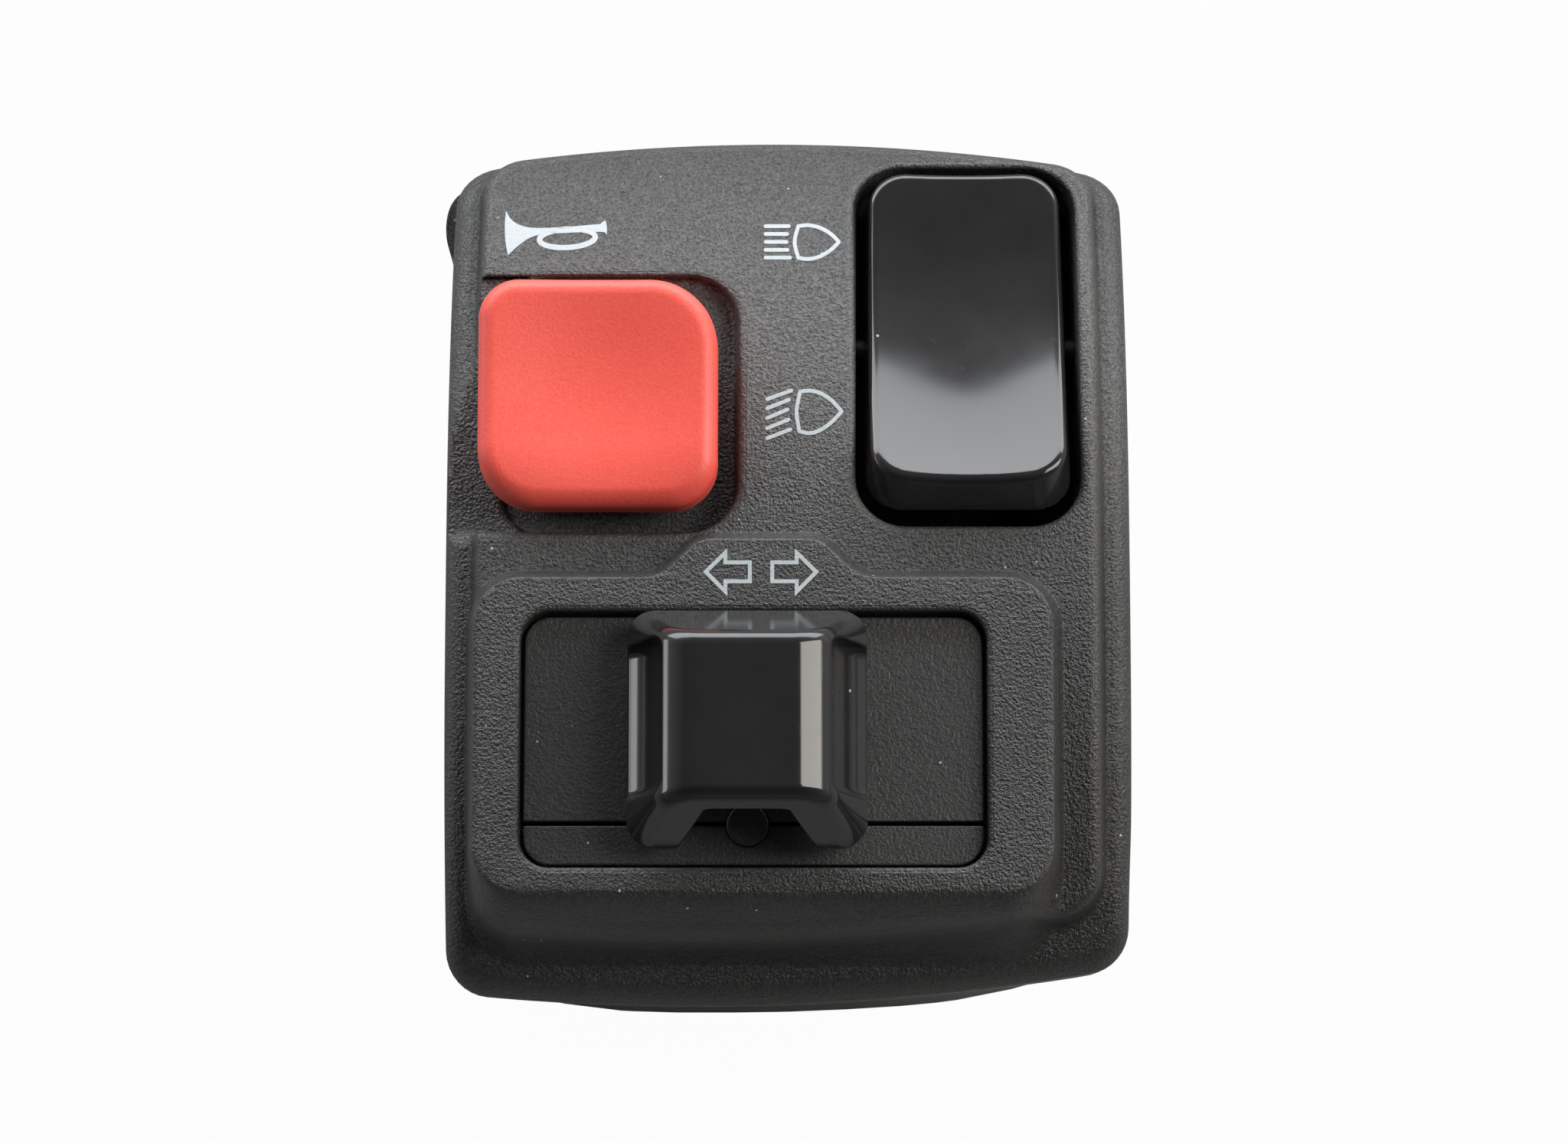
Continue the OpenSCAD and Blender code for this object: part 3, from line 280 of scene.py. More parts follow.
def drawn_in(p):
    """The lower right corner, drawn in a little from the straight side."""
    share = eased(np.clip((TAPER_Y - p[:, 1]) / TAPER_RUN, 0, 1)) * np.clip(p[:, 0] / TAPER_X, 0, 1)
    return p - np.outer(CORNER_TAPER * share, np.eye(p.shape[1])[0])


rim_line = drawn_in(dense(barrel(-RIM_X, RIM_X, RIM_Y0, RIM_Y1, 3.5, 3.0), 1.0))
face_line = dense(barrel(-FACE_X, FACE_X, FACE_Y0, FACE_Y1, 3.0, 3.0), 1.0)
bezel_edge = dense(bezel_line(), 0.9)
horn_mouth = dense(rounded(-25.2, 12.375, 43.6, 18.35, 3.4), 0.9)
horn_well = dense(rounded(-11.45, 12.375, 16.1, 18.35, 3.4), 0.9)
rocker_well = dense(rounded(ROCKER_X, 16.925, 15.2, 26.65, 3.4), 0.9)
window_edge = dense(rounded(*WINDOW), 0.9)
stem_hole = rounded(HORN_X, HORN_Y, 12.0, 12.7, 1.5)
BEZEL_SOFT, BEZEL_SLOPE, SKIRT_Y, SKIRT_RUN = 0.5, 3.3, -8, 9
bezel_top = inset(bezel_edge, BEZEL_SOFT)
skirt = np.clip((SKIRT_Y - bezel_edge[:, 1]) / SKIRT_RUN, 0, 1)
bezel_foot = inset(bezel_edge, -BEZEL_SOFT) - np.outer(skirt, [0, BEZEL_SLOPE])
FACE_TOP, FACE_FOOT, FACE_RUN = 0.7, 0.5, 0.3
POCKET_TOP, POCKET_FOOT, POCKET_RUN = 0.55, 0.5, 0.25
SEAT_TOP, SEAT_FOOT, SEAT_RUN, SEAT_DEPTH = 0.25, 0.3, 0.15, 0.6
WELL_TOP, WELL_RUN, WELL_Z = 0.45, 0.3, 20.55
FRAME_TOP, FRAME_RUN, FRAME_LOW = 0.3, 0.12, 28.1


def face_height(p):
    x, y = p[:, 0], p[:, 1]
    d = np.clip(depth_in(p, rim_line), 0, RIM_ROUND)
    z = crown(y, LEDGE_DROP) - RIM_ROUND + np.sqrt(np.maximum(RIM_ROUND ** 2 - (RIM_ROUND - d) ** 2, 0))
    z = z + wall_up(depth_in(p, face_line), crown(y) - z, FACE_TOP, FACE_FOOT, FACE_RUN)
    over, under = depth_in(p, bezel_top), depth_in(p, bezel_foot)
    t = np.clip(under / np.maximum(under - np.minimum(over, 0), 1e-9), 0, 1)
    z = z + (BEZEL_Z - z) * eased(t)
    for line, floor_z, top, foot, run in (
            (horn_mouth, HORN_FLOOR + SEAT_DEPTH, POCKET_TOP, POCKET_FOOT, POCKET_RUN),
            (horn_well, HORN_FLOOR, SEAT_TOP, SEAT_FOOT, SEAT_RUN),
            (rocker_well, WELL_Z, WELL_TOP, 0.02, WELL_RUN),
            (window_edge, FRAME_LOW, FRAME_TOP, 0.02, FRAME_RUN)):
        d = -depth_in(p, line)
        z = np.where(z > floor_z, floor_z + wall_up(d, z - floor_z, top, foot, run), z)
    return z


def face_normal(p, step=0.004):
    dx = (face_height(p + [step, 0]) - face_height(p - [step, 0])) / (2 * step)
    dy = (face_height(p + [0, step]) - face_height(p - [0, step])) / (2 * step)
    n = np.column_stack([-dx, -dy, np.ones(len(p))])
    return n / np.linalg.norm(n, axis=1)[:, None]


def quarter(r, n=5):
    return [r * (1 - np.cos(a)) for a in np.linspace(0, np.pi / 2, n + 1)]


def foot_steps(run, r, n=3):
    return [-run - r + r * np.sin(a) for a in np.linspace(0, np.pi / 2, n + 1)]


def triangulate(loops, spots):
    points, edges = [], []
    for loop in loops:
        start, n = len(points), len(loop)
        points += [Vector(q) for q in loop]
        edges += [(start + i, start + (i + 1) % n) for i in range(n)]
    points += [Vector(q) for q in spots]
    flat, _, tris, *_ = delaunay_2d_cdt(points, edges, [], 0, 1e-5)
    return np.array([[v.x, v.y] for v in flat]), np.array(tris)


def kept(flat, tris, keep):
    tris = tris[keep]
    used = np.unique(tris)
    index = np.full(len(flat), -1)
    index[used] = np.arange(len(used))
    return flat[used], index[tris]


loops = [inset(rim_line, d) for d in quarter(RIM_ROUND, 6)] + [inset(rim_line, RIM_ROUND + 0.15)]
steps = quarter(FACE_TOP) + foot_steps(FACE_RUN, FACE_FOOT) + [FACE_TOP + 0.1]
loops += [inset(face_line, d) for d in steps]
loops += [bezel_top + (bezel_foot - bezel_top) * t for t in np.linspace(0, 1, 13)]
for line, top, foot, run in (
        (horn_mouth, POCKET_TOP, POCKET_FOOT, POCKET_RUN), (horn_well, SEAT_TOP, SEAT_FOOT, SEAT_RUN),
        (rocker_well, WELL_TOP, 0, WELL_RUN), (window_edge, FRAME_TOP, 0, FRAME_RUN)):
    steps = quarter(top) + [top + 0.1] + (foot_steps(run, foot) if foot else [-run])
    loops += [inset(line, -d) for d in steps]
loops.append(stem_hole)
gx, gy = np.meshgrid(np.arange(-RIM_X, RIM_X, 1.15), np.arange(RIM_Y0, RIM_Y1, 1.15))
flat, tris = triangulate(loops, np.column_stack([gx.ravel(), gy.ravel()]))
mid = flat[tris].mean(axis=1)
inside = depth_in(mid, rim_line) > 0
for line, gone in ((rocker_well, WELL_RUN), (window_edge, FRAME_RUN), (stem_hole, 0)):
    inside &= depth_in(mid, line) < gone
flat, tris = kept(flat, tris, inside)
top_z = face_height(flat)
on_rim = depth_in(flat, rim_line) < 1e-4
verts = np.column_stack([flat, top_z])
normals = face_normal(flat)
normals[on_rim, 2] = 0
normals /= np.linalg.norm(normals, axis=1)[:, None]
faces = tris

# the outer wall under the rim, unrolled: bore of the bar on both sides, outlet of the loom,
# small moulded boss
wall_line = flat[on_rim]
centre = np.array([0.0, 3.0])
order = np.argsort(np.arctan2(*((wall_line - centre) * [-1, 1]).T))
wall_line = wall_line[order]
wall_top = top_z[on_rim][order]
wall_steps = np.diff(np.vstack([wall_line, wall_line[:1]]), axis=0)
run_at = np.concatenate([[0], np.cumsum(np.linalg.norm(wall_steps, axis=1))])


def run_of(x_side, y):
    side = outward(wall_line)[:, 0] * x_side > 0.9
    k = np.argsort(wall_line[side][:, 1])
    return np.interp(y, wall_line[side][k, 1], run_at[:-1][side][k])


def wall_place(s, z):
    closed = np.vstack([wall_line, wall_line[:1]])
    p = np.column_stack([np.interp(s, run_at, closed[:, 0]), np.interp(s, run_at, closed[:, 1])])
    low_end = np.clip((LEAN_Y - p[:, 1]) / LEAN_RUN, 0, 1)
    p[:, 1] += LEAN * np.maximum(0, 1 - z / LEAN_Z) * low_end
    n = outward(wall_line)
    n = np.vstack([n, n[:1]])
    q = np.column_stack([np.interp(s, run_at, n[:, 0]), np.interp(s, run_at, n[:, 1])])
    return p, q / np.linalg.norm(q, axis=1)[:, None]


ROUND, ROWS = 41, 12
OUTLET = (-15.988, 8.697, 3.97)
BOSS_Y, BOSS_Z, BOSS_R, BOSS_RISE, BOSS_HALF = 27.02, 13.0, 5.0, 0.79, 5.0
top_edge = np.column_stack([run_at, np.append(wall_top, wall_top[0])])
low_edge = np.column_stack([run_at, np.full(len(run_at), PART_Z)])
holes = []
for x_side in (1, -1):
    s0 = run_of(x_side, 0.0)
    a = np.linspace(np.arcsin(PART_Z / BORE_R), np.pi - np.arcsin(PART_Z / BORE_R), ROUND)
    holes.append(np.column_stack([s0 + BORE_R * np.cos(a), BORE_R * np.sin(a)]))
s1 = run_of(1, OUTLET[0])
holes.append(np.column_stack([s1, OUTLET[1]]) + arc(0, 0, OUTLET[2], 0, 360, 48)[:-1])
s2 = run_of(-1, BOSS_Y)
boss_rows = np.concatenate([[-5.2, -5.0, -4.7], np.linspace(-4.2, 4.2, 7), [4.7, 5.0, 5.2]])
bx, bz = np.meshgrid(np.linspace(-3.2, 3.2, 29), boss_rows)
spots = [np.column_stack([s2 + bx.ravel(), BOSS_Z + bz.ravel()])]
for z in (3.0, 6.0, 9.0, 12.0, 15.0):
    spots.append(np.column_stack([run_at[:-1:2] + 0.3, np.full(len(run_at[:-1:2]), z)]))
spots = np.vstack(spots)
spots = spots[spots[:, 1] < np.interp(spots[:, 0], run_at, top_edge[:, 1]) - 0.4]
flat, tris = triangulate([np.vstack([low_edge, top_edge[::-1]])] + holes, spots)
mid = flat[tris].mean(axis=1)
keep = np.ones(len(tris), bool)
for hole in holes:
    keep &= depth_in(mid, hole) < 0
keep &= (mid[:, 1] > PART_Z) & (mid[:, 1] < np.interp(mid[:, 0], run_at, top_edge[:, 1]))
flat, tris = kept(flat, tris, keep)
place, side_n = wall_place(*flat.T)
across = np.clip(flat[:, 0] - s2, -4.9, 4.9)
swell = np.sqrt(np.maximum(BOSS_R ** 2 - across ** 2, 0)) - (BOSS_R - BOSS_RISE)
fade = np.clip((BOSS_HALF - np.abs(flat[:, 1] - BOSS_Z)) / 0.3, 0, 1)
place = place + side_n * (np.maximum(swell, 0) * np.sqrt(fade))[:, None]
verts = np.vstack([verts, np.column_stack([place, flat[:, 1]])])
normals = np.vstack([normals, np.column_stack([side_n, np.zeros(len(flat))])])
faces = np.vstack([faces, tris + len(normals) - len(flat)])

# the half-round saddle on the bar
a = np.linspace(np.arcsin(PART_Z / BORE_R), np.pi - np.arcsin(PART_Z / BORE_R), ROUND)
ga, gxx = np.meshgrid(a, np.linspace(-RIM_X, RIM_X, ROWS))
saddle = np.column_stack([gxx.ravel(), BORE_R * np.cos(ga.ravel()), BORE_R * np.sin(ga.ravel())])
n0 = len(verts)
starts = [n0 + i * ROUND + j for i in range(ROWS - 1) for j in range(ROUND - 1)]
cells = [(k, k + 1, k + ROUND + 1, k + ROUND) for k in starts]
verts = np.vstack([verts, saddle])
normals = np.vstack([normals, np.column_stack([np.zeros(len(saddle)), -saddle[:, 1:] / BORE_R])])
faces = [tuple(t) for t in faces] + cells


def thickened(verts, normals, faces, t):
    """Gives a moulded skin its wall: an inner copy, joined along every open edge."""
    n = len(verts)
    count = {}
    for f in faces:
        for i in range(len(f)):
            e = (f[i], f[(i + 1) % len(f)])
            count[e] = count.get(e, 0) + 1
    rim = [(b, a, a + n, b + n) for a, b in count if (b, a) not in count]
    back = [tuple(i + n for i in reversed(f)) for f in faces]
    both_sides = np.vstack([verts, verts - normals * t])
    return both_sides, np.vstack([normals, -normals]), list(faces) + back + rim


def merged(verts, normals, faces, grid=2e-4):
    key = np.round(verts / grid).astype(np.int64)
    _, first, index = np.unique(key, axis=0, return_index=True, return_inverse=True)
    index = index.ravel()
    total = np.zeros((len(first), 3))
    np.add.at(total, index, normals)
    total /= np.maximum(np.linalg.norm(total, axis=1), 1e-9)[:, None]
    out = []
    for f in faces:
        g = [int(index[i]) for i in f]
        g = [v for i, v in enumerate(g) if v != g[i - 1]]
        if len(set(g)) > 2:
            out.append(tuple(g))
    return verts[first], total, out


def turned_out(verts, normals, faces):
    """Turns each face so that it looks along the wanted normals of its corners."""
    out = []
    for f in faces:
        a, b, c = verts[f[0]], verts[f[1]], verts[f[2]]
        right_way = np.dot(np.cross(b - a, c - a), normals[list(f)].sum(axis=0)) > 0
        out.append(f if right_way else tuple(reversed(f)))
    return out


def piece(name, verts, faces, material, body, stands_for=(), normals=None):
    """A finished piece in the cluster's own frame, from millimetres."""
    mesh = bpy.data.meshes.new(name)
    mesh.from_pydata((np.asarray(verts) * MM).tolist(), [], [tuple(int(i) for i in f) for f in faces])
    mesh.materials.append(material)
    mesh.shade_smooth()
    if normals is not None:
        mesh.normals_split_custom_set_from_vertices([tuple(n) for n in normals])
    obj = bpy.data.objects.new(name, mesh)
    scene.collection.objects.link(obj)
    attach(obj, body)
    if stands_for:
        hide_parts(*stands_for)
    return obj


def effect(name, inputs, outputs):
    """An empty node group with named inputs and outputs, for an effect that several finishes share."""
    group = bpy.data.node_groups.new(name, "ShaderNodeTree")
    for label, value in inputs:
        socket = group.interface.new_socket(label, in_out="INPUT", socket_type="NodeSocketFloat")
        socket.default_value = value
    for label in outputs:
        group.interface.new_socket(label, in_out="OUTPUT", socket_type="NodeSocketFloat")
    return group, group.nodes.new("NodeGroupInput"), group.nodes.new("NodeGroupOutput")


def maths(tree, kind, a, b=0.0, c=0.0, clamp=False):
    node = tree.nodes.new("ShaderNodeMath")
    node.operation = kind
    node.use_clamp = clamp
    for socket, value in zip(node.inputs, (a, b, c)):
        if isinstance(value, bpy.types.NodeSocket):
            tree.links.new(value, socket)
        else:
            socket.default_value = value
    return node.outputs[0]


def pattern(tree, kind, scale, **settings):
    where = tree.nodes.new("ShaderNodeTexCoord")
    node = tree.nodes.new(kind)
    tree.links.new(where.outputs["Object"], node.inputs["Vector"])
    if isinstance(scale, bpy.types.NodeSocket):
        tree.links.new(scale, node.inputs["Scale"])
    else:
        node.inputs["Scale"].default_value = scale
    for key, value in settings.items():
        if key in node.inputs:
            node.inputs[key].default_value = value
        else:
            setattr(node, key, value)
    return node


# spark-eroded grain: fine cells of uneven depth
grain, g_in, g_out = effect("eroded_grain", [("Cells per metre", 4200.0)], ["Height", "Tone"])
cells_a = pattern(grain, "ShaderNodeTexNoise", g_in.outputs[0], Detail=2.5, Roughness=0.62)
coarse = maths(grain, "MULTIPLY", g_in.outputs[0], 0.42)
cells_b = pattern(grain, "ShaderNodeTexNoise", coarse, Detail=1.0, Roughness=0.5)
mixed = maths(grain, "MULTIPLY_ADD", cells_b.outputs[0], 0.22, cells_a.outputs[0])
grain.links.new(mixed, g_out.inputs["Height"])
tone = maths(grain, "MULTIPLY_ADD", mixed, 3.2, -1.45, clamp=True)
grain.links.new(tone, g_out.inputs["Tone"])

# settled dust: sparse small specks of uneven size
dust, d_in, d_out = effect(
    "dust_specks", [("Specks per metre", 900.0), ("Share", 0.1), ("Size", 0.18)], ["Mask"])
cells = pattern(dust, "ShaderNodeTexVoronoi", d_in.outputs["Specks per metre"], Randomness=1.0)
pick = dust.nodes.new("ShaderNodeSeparateColor")
dust.links.new(cells.outputs["Color"], pick.inputs[0])
chosen = maths(dust, "LESS_THAN", pick.outputs[0], d_in.outputs["Share"])
reach = maths(dust, "MULTIPLY", pick.outputs[1], d_in.outputs["Size"])
close = maths(dust, "LESS_THAN", cells.outputs["Distance"], reach)
dust.links.new(maths(dust, "MULTIPLY", chosen, close), d_out.inputs["Mask"])

# handling: soft cloudy patches, cleaner and shinier where fingers go
haze, h_in, h_out = effect("handling", [("Patches per metre", 120.0)], ["Patch"])
clouds = pattern(haze, "ShaderNodeTexNoise", h_in.outputs[0], Detail=4.0, Roughness=0.6)
patch = maths(haze, "MULTIPLY_ADD", clouds.outputs[0], 2.2, -0.6, clamp=True)
haze.links.new(patch, h_out.inputs["Patch"])

# painted light and shade: the base colour is painted lighter on the upper face, where the light falls, and
# darker on the sides and the lower end, which lie in shade
fade, f_in, f_out = effect("painted_light_and_shade", [
    ("Low end", -0.004), ("High end", 0.016), ("Side height", 0.018), ("Face height", 0.028)], ["Share"])
at = fade.nodes.new("ShaderNodeTexCoord")
along = fade.nodes.new("ShaderNodeSeparateXYZ")
fade.links.new(at.outputs["Object"], along.inputs[0])
shares = []
for axis, start, stop in (("Y", "Low end", "High end"), ("Z", "Side height", "Face height")):
    ramp = fade.nodes.new("ShaderNodeMapRange")
    ramp.interpolation_type = "SMOOTHSTEP"
    fade.links.new(along.outputs[axis], ramp.inputs["Value"])
    fade.links.new(f_in.outputs[start], ramp.inputs["From Min"])
    fade.links.new(f_in.outputs[stop], ramp.inputs["From Max"])
    shares.append(ramp.outputs["Result"])
fade.links.new(maths(fade, "MULTIPLY", *shares), f_out.inputs["Share"])


def use(tree, group, **values):
    node = tree.nodes.new("ShaderNodeGroup")
    node.node_tree = group
    for label, value in values.items():
        node.inputs[label.replace("_", " ")].default_value = value
    return node


def blend(tree, factor, a, b):
    node = tree.nodes.new("ShaderNodeMix")
    node.data_type = "RGBA"
    tree.links.new(factor, node.inputs[0])
    for socket, value in ((node.inputs[6], a), (node.inputs[7], b)):
        if isinstance(value, bpy.types.NodeSocket):
            tree.links.new(value, socket)
        else:
            socket.default_value = (*value, 1)
    return node.outputs[2]


def finish_of(name):
    material = bpy.data.materials.new(name)
    material.use_nodes = True
    return material, material.node_tree, material.node_tree.nodes["Principled BSDF"]


def bumped(tree, shader, height, distance, strength=1.0):
    bump = tree.nodes.new("ShaderNodeBump")
    bump.inputs["Strength"].default_value = strength
    bump.inputs["Distance"].default_value = distance
    tree.links.new(height, bump.inputs["Height"])
    tree.links.new(bump.outputs[0], shader.inputs["Normal"])


def grained_plastic(name, dark, light, painted_light_gain, cells, depth, rough, specks):
    material, tree, shader = finish_of(name)
    skin = use(tree, grain, Cells_per_metre=cells)
    patches = use(tree, haze, Patches_per_metre=90.0)
    flecks = use(tree, dust, Specks_per_metre=900.0, Share=specks, Size=0.1)
    edges = tree.nodes.new("ShaderNodeAttribute")
    edges.attribute_name = "edge_wear_and_highlight"
    edge_wear_and_highlight = edges.outputs["Fac"]
    # painted light and shade: the base colour is lifted by the gain on the upper face, and the sides and the
    # lower end keep their dark tones
    painted_light_share = use(tree, fade).outputs["Share"]
    low = blend(tree, painted_light_share, dark, tuple(painted_light_gain * v for v in dark))
    high = blend(tree, painted_light_share, light, tuple(painted_light_gain * v for v in light))
    base = blend(tree, skin.outputs["Tone"], low, high)
    handled = maths(tree, "MULTIPLY", patches.outputs[0], 0.25)
    worn_and_highlit = blend(tree, handled, base, tuple(1.35 * v for v in light))
    # partly painted highlight: rounded edges get a lighter base colour for the glint along them as well as
    # for wear, and are smoother and glossier there
    worn_and_highlit = blend(tree, maths(tree, "MULTIPLY", edge_wear_and_highlight, 0.35), worn_and_highlit, tuple(1.5 * v for v in light))
    dusty = blend(tree, maths(tree, "MULTIPLY", flecks.outputs[0], 0.75), worn_and_highlit, (0.62, 0.62, 0.6))
    tree.links.new(dusty, shader.inputs["Base Color"])
    dulled = maths(tree, "MULTIPLY_ADD", patches.outputs[0], -0.06, rough)
    tree.links.new(maths(tree, "MULTIPLY_ADD", edge_wear_and_highlight, -0.02, dulled), shader.inputs["Roughness"])
    flattened = maths(tree, "MULTIPLY_ADD", edge_wear_and_highlight, -0.35, 1.0)
    bumped(tree, shader, maths(tree, "MULTIPLY", skin.outputs["Height"], flattened), depth)
    return material


# painted light and shade: the upper face's base colour is 3.5 times lighter than that of the sides and the
# lower end
housing_black = grained_plastic("housing_black", (0.008, 0.008, 0.008), (0.036, 0.0355, 0.035),
                                painted_light_gain=3.5, cells=4600.0, depth=0.00022, rough=0.28, specks=0.16)
verts, normals, faces = merged(verts, normals, faces)
faces = turned_out(verts, normals, faces)
verts, normals, faces = thickened(verts, normals, faces, SHELL)
front = piece("front_housing_skin", verts, faces, housing_black, "housing",
              ["front_housing"], normals)
EDGE_REACH, EDGE_LEAST = 0.14, 0.2
flat = verts[:, :2]
around = [np.array(d) * EDGE_REACH for d in ((1, 0), (-1, 0), (0, 1), (0, -1))]
here = face_height(flat)
bend_at = (4 * here - sum(face_height(flat + d) for d in around)) / EDGE_REACH ** 2
on_face_side = (verts[:, 2] > here - 0.3) & (depth_in(flat, rim_line) > EDGE_REACH)
# how sharply the face bends over at each point near its top: rounded edges, lightened partly as wear and
# partly as a painted highlight
edge_wear_and_highlight = np.clip(bend_at - EDGE_LEAST, 0, 1) * on_face_side
front.data.attributes.new("edge_wear_and_highlight", "FLOAT", "POINT").data.foreach_set("value", edge_wear_and_highlight)


# Printed signs: horn, high beam, low beam and the two turn arrows, pad-printed in white ink on the face.
# Each outline is given in pixels of the frame and laid on the face where the camera sees it.
PRINT_LIFT, PRINT_SINK = 0.02, 0.06


def on_face(px):
    px = np.asarray(px, float)
    right, down = ((px - AIM_PX) / FOCAL_PX).T
    ray = view_ahead + np.outer(right, [1, 0, 0]) - np.outer(down, view_up)
    z = np.full(len(px), FACE_Z)
    for _ in range(30):
        p = eye + ray * ((z - eye[2]) / ray[:, 2])[:, None]
        z = 0.5 * z + 0.5 * face_height(p[:, :2])
    return p[:, :2]


def stroke(path, width, closed=False):
    path = np.asarray(path, float)
    t = np.gradient(path, axis=0) if not closed else np.roll(path, -1, axis=0) - np.roll(path, 1, axis=0)
    n = np.column_stack([-t[:, 1], t[:, 0]]) / np.linalg.norm(t, axis=1)[:, None]
    return path + n * width / 2, path - n * width / 2


def bar(a, b, width):
    a, b = np.asarray(a, float), np.asarray(b, float)
    turn = np.degrees(np.arctan2(b[1] - a[1], b[0] - a[0]))
    ends = [arc(*b, width / 2, turn - 90, turn + 90, 6), arc(*a, width / 2, turn + 90, turn + 270, 6)]
    return dense(np.vstack(ends), 6.0)


def curve(*pts, n=10):
    """A smooth line through the given points."""
    p = np.asarray(pts, float)
    p = np.vstack([2 * p[0] - p[1], p, 2 * p[-1] - p[-2]])
    out = []
    for i in range(1, len(p) - 2):
        t = np.linspace(0, 1, n, endpoint=False)[:, None]
        a, b, c, d = p[i - 1:i + 3]
        bend, twist = 2 * a - 5 * b + 4 * c - d, 3 * b - a - 3 * c + d
        out.append(0.5 * (2 * b + (c - a) * t + bend * t ** 2 + twist * t ** 3))
    return np.vstack(out + [p[-2:-1]])


sign_v, sign_f, sign_n = [], [], []


def print_on(flat, tris):
    p = on_face(flat)
    n = face_normal(p)
    v = np.column_stack([p, face_height(p)]) + n * PRINT_LIFT
    tris = turned_out(v, n, [tuple(t) for t in tris])
    v, n, f = thickened(v, n, tris, PRINT_LIFT + PRINT_SINK)
    start = sum(len(q) for q in sign_v)
    sign_v.append(v)
    sign_n.append(n)
    sign_f.extend(tuple(i + start for i in g) for g in f)


def print_area(outer, *inner):
    loops = [np.asarray(outer, float)] + [np.asarray(q, float) for q in inner]
    flat, tris = triangulate(loops, np.zeros((0, 2)))
    mid = flat[tris].mean(axis=1)
    keep = depth_in(mid, loops[0]) > 0
    for q in loops[1:]:
        keep &= depth_in(mid, q) < 0
    print_on(*kept(flat, tris, keep))


def print_ring(line, width):
    sides = stroke(line, width, closed=True)
    print_area(*sorted(sides, key=lambda q: -np.ptp(q[:, 0])))


INK, HIGH_X, LOW_X = 4.9, 1000.0, 1002.0
HIGH_BEAM = ((295.6, 1030.2), (305.9, 1028.0), (316.2, 1027.4), (326.6, 1028.6), (336.7, 1032.0))
LOW_BEAM = ((521.5, 1033.5, 510.2), (533.5, 1030.5, 522.2), (546.3, 1028.5, 535.0),
            (559.5, 1029.8, 548.2), (572.5, 1032.5, 561.0))
HIGH_LAMP = [(1042.5, 295.5), (1056, 294.5), (1070, 297.5), (1084, 305), (1096, 316.2),
             (1084, 327.5), (1070, 335.5), (1056, 338.5), (1042.5, 337)]
LOW_LAMP = [(1045, 511.5), (1058, 510.5), (1072, 514), (1086, 523), (1099.5, 537.5),
            (1086, 551.5), (1072, 561.5), (1058, 566), (1044, 563.5)]
LAMP_BACK = 4.6
for y, x1 in HIGH_BEAM:
    print_area(bar((HIGH_X, y), (x1, y), INK))
for y0, x1, y1 in LOW_BEAM:
    print_area(bar((LOW_X, y0), (x1, y1), INK))
for lamp in (HIGH_LAMP, LOW_LAMP):
    back = (lamp[0][0] - LAMP_BACK, (lamp[0][1] + lamp[-1][1]) / 2)
    glass = curve(*lamp[:5], n=6), curve(*lamp[4:], n=6), curve(lamp[-1], back, lamp[0], n=10)
    print_ring(dense(np.vstack([q[:-1] for q in glass]), 3.0), INK)
bell = curve((663.5, 333.5), (660.5, 318), (659.5, 304), (659.5, 290), (661, 276), n=6)
upper = curve((661, 276), (668, 287), (680, 294.5), (700, 298), (740, 296.5), (784, 292.8), n=8)
mouth = curve((784, 292.8), (790.5, 288.5), (792.5, 297), (792.8, 307), n=5)
lower = curve((792.8, 307), (785, 303), (740, 304.5), (707, 306.5), (690, 312), (676, 322),
              (663.5, 333.5), n=8)
print_area(dense(np.vstack([q[:-1] for q in (bell, upper, mouth, lower)]), 4.0))
TUBE_MID, TUBE_HALF, TUBE_LEAN, TUBE_INK = (741, 311.5), (36.5, 12.0), 0.05, 7.0
a = np.linspace(0, 2 * np.pi, 72, endpoint=False)
tube = np.column_stack([np.cos(a), np.sin(a)]) * TUBE_HALF + TUBE_MID
tube[:, 1] -= (tube[:, 0] - TUBE_MID[0]) * TUBE_LEAN
print_ring(tube, TUBE_INK)
ARROW = [(0, 31), (32, 0), (32, 16), (64, 16), (64, 46), (32, 46), (32, 63)]
ARROW_ROOM = [(7.6, 31), (26.8, 12.2), (26.8, 21.2), (58.8, 21.2), (58.8, 40.8), (26.8, 40.8),
              (26.8, 50.6)]
ARROW_TOP = 716
for x0, way in ((918.0, 1), (1070.0, -1)):
    sides = [np.array(q, float) * (way, 1) + (x0, ARROW_TOP) for q in (ARROW, ARROW_ROOM)]
    print_area(*(dense(q, 5.0) for q in sides))

print_white, tree, shader = finish_of("print_white")
skin = use(tree, grain, Cells_per_metre=3600.0)
patches = use(tree, haze, Patches_per_metre=700.0)
thin = maths(tree, "MULTIPLY", maths(tree, "SUBTRACT", 1.0, skin.outputs["Tone"]), 0.22)
ink = blend(tree, thin, (0.48, 0.53, 0.56), (0.32, 0.35, 0.37))
ink = blend(tree, maths(tree, "MULTIPLY", patches.outputs[0], 0.2), ink, (0.4, 0.44, 0.46))
tree.links.new(ink, shader.inputs["Base Color"])
shader.inputs["Roughness"].default_value = 0.55
bumped(tree, shader, skin.outputs["Height"], 0.00004)
piece("printed_signs", np.vstack(sign_v), sign_f, print_white, "housing",
      normals=np.vstack(sign_n))


# Horn button: a red satin cap, dished for the thumb and rolled over at its lower edge,
# moulded in one with the hollow guide block that slides in the pocket's floor.
HORN_HALF, HORN_LOW, HORN_TOP, HORN_DISH = (8.1, 7.85), 28.55, 31.85, 0.9
HORN_CORNERS, HORN_SHIFT, HORN_WALL = (4.6, 2.7, 4.1, 3.2), 0.2, 1.3
HORN_DRAFT, HORN_ROOF, DISH_Y, DISH_R = 0.03, 2.2, 0.5, 9.6
ROLL, ROLL_Y, ROLL_RUN = 0.6, -3.6, 4.2
STEM_HALF, STEM_LOW = (5.7, 6.05), 23.8


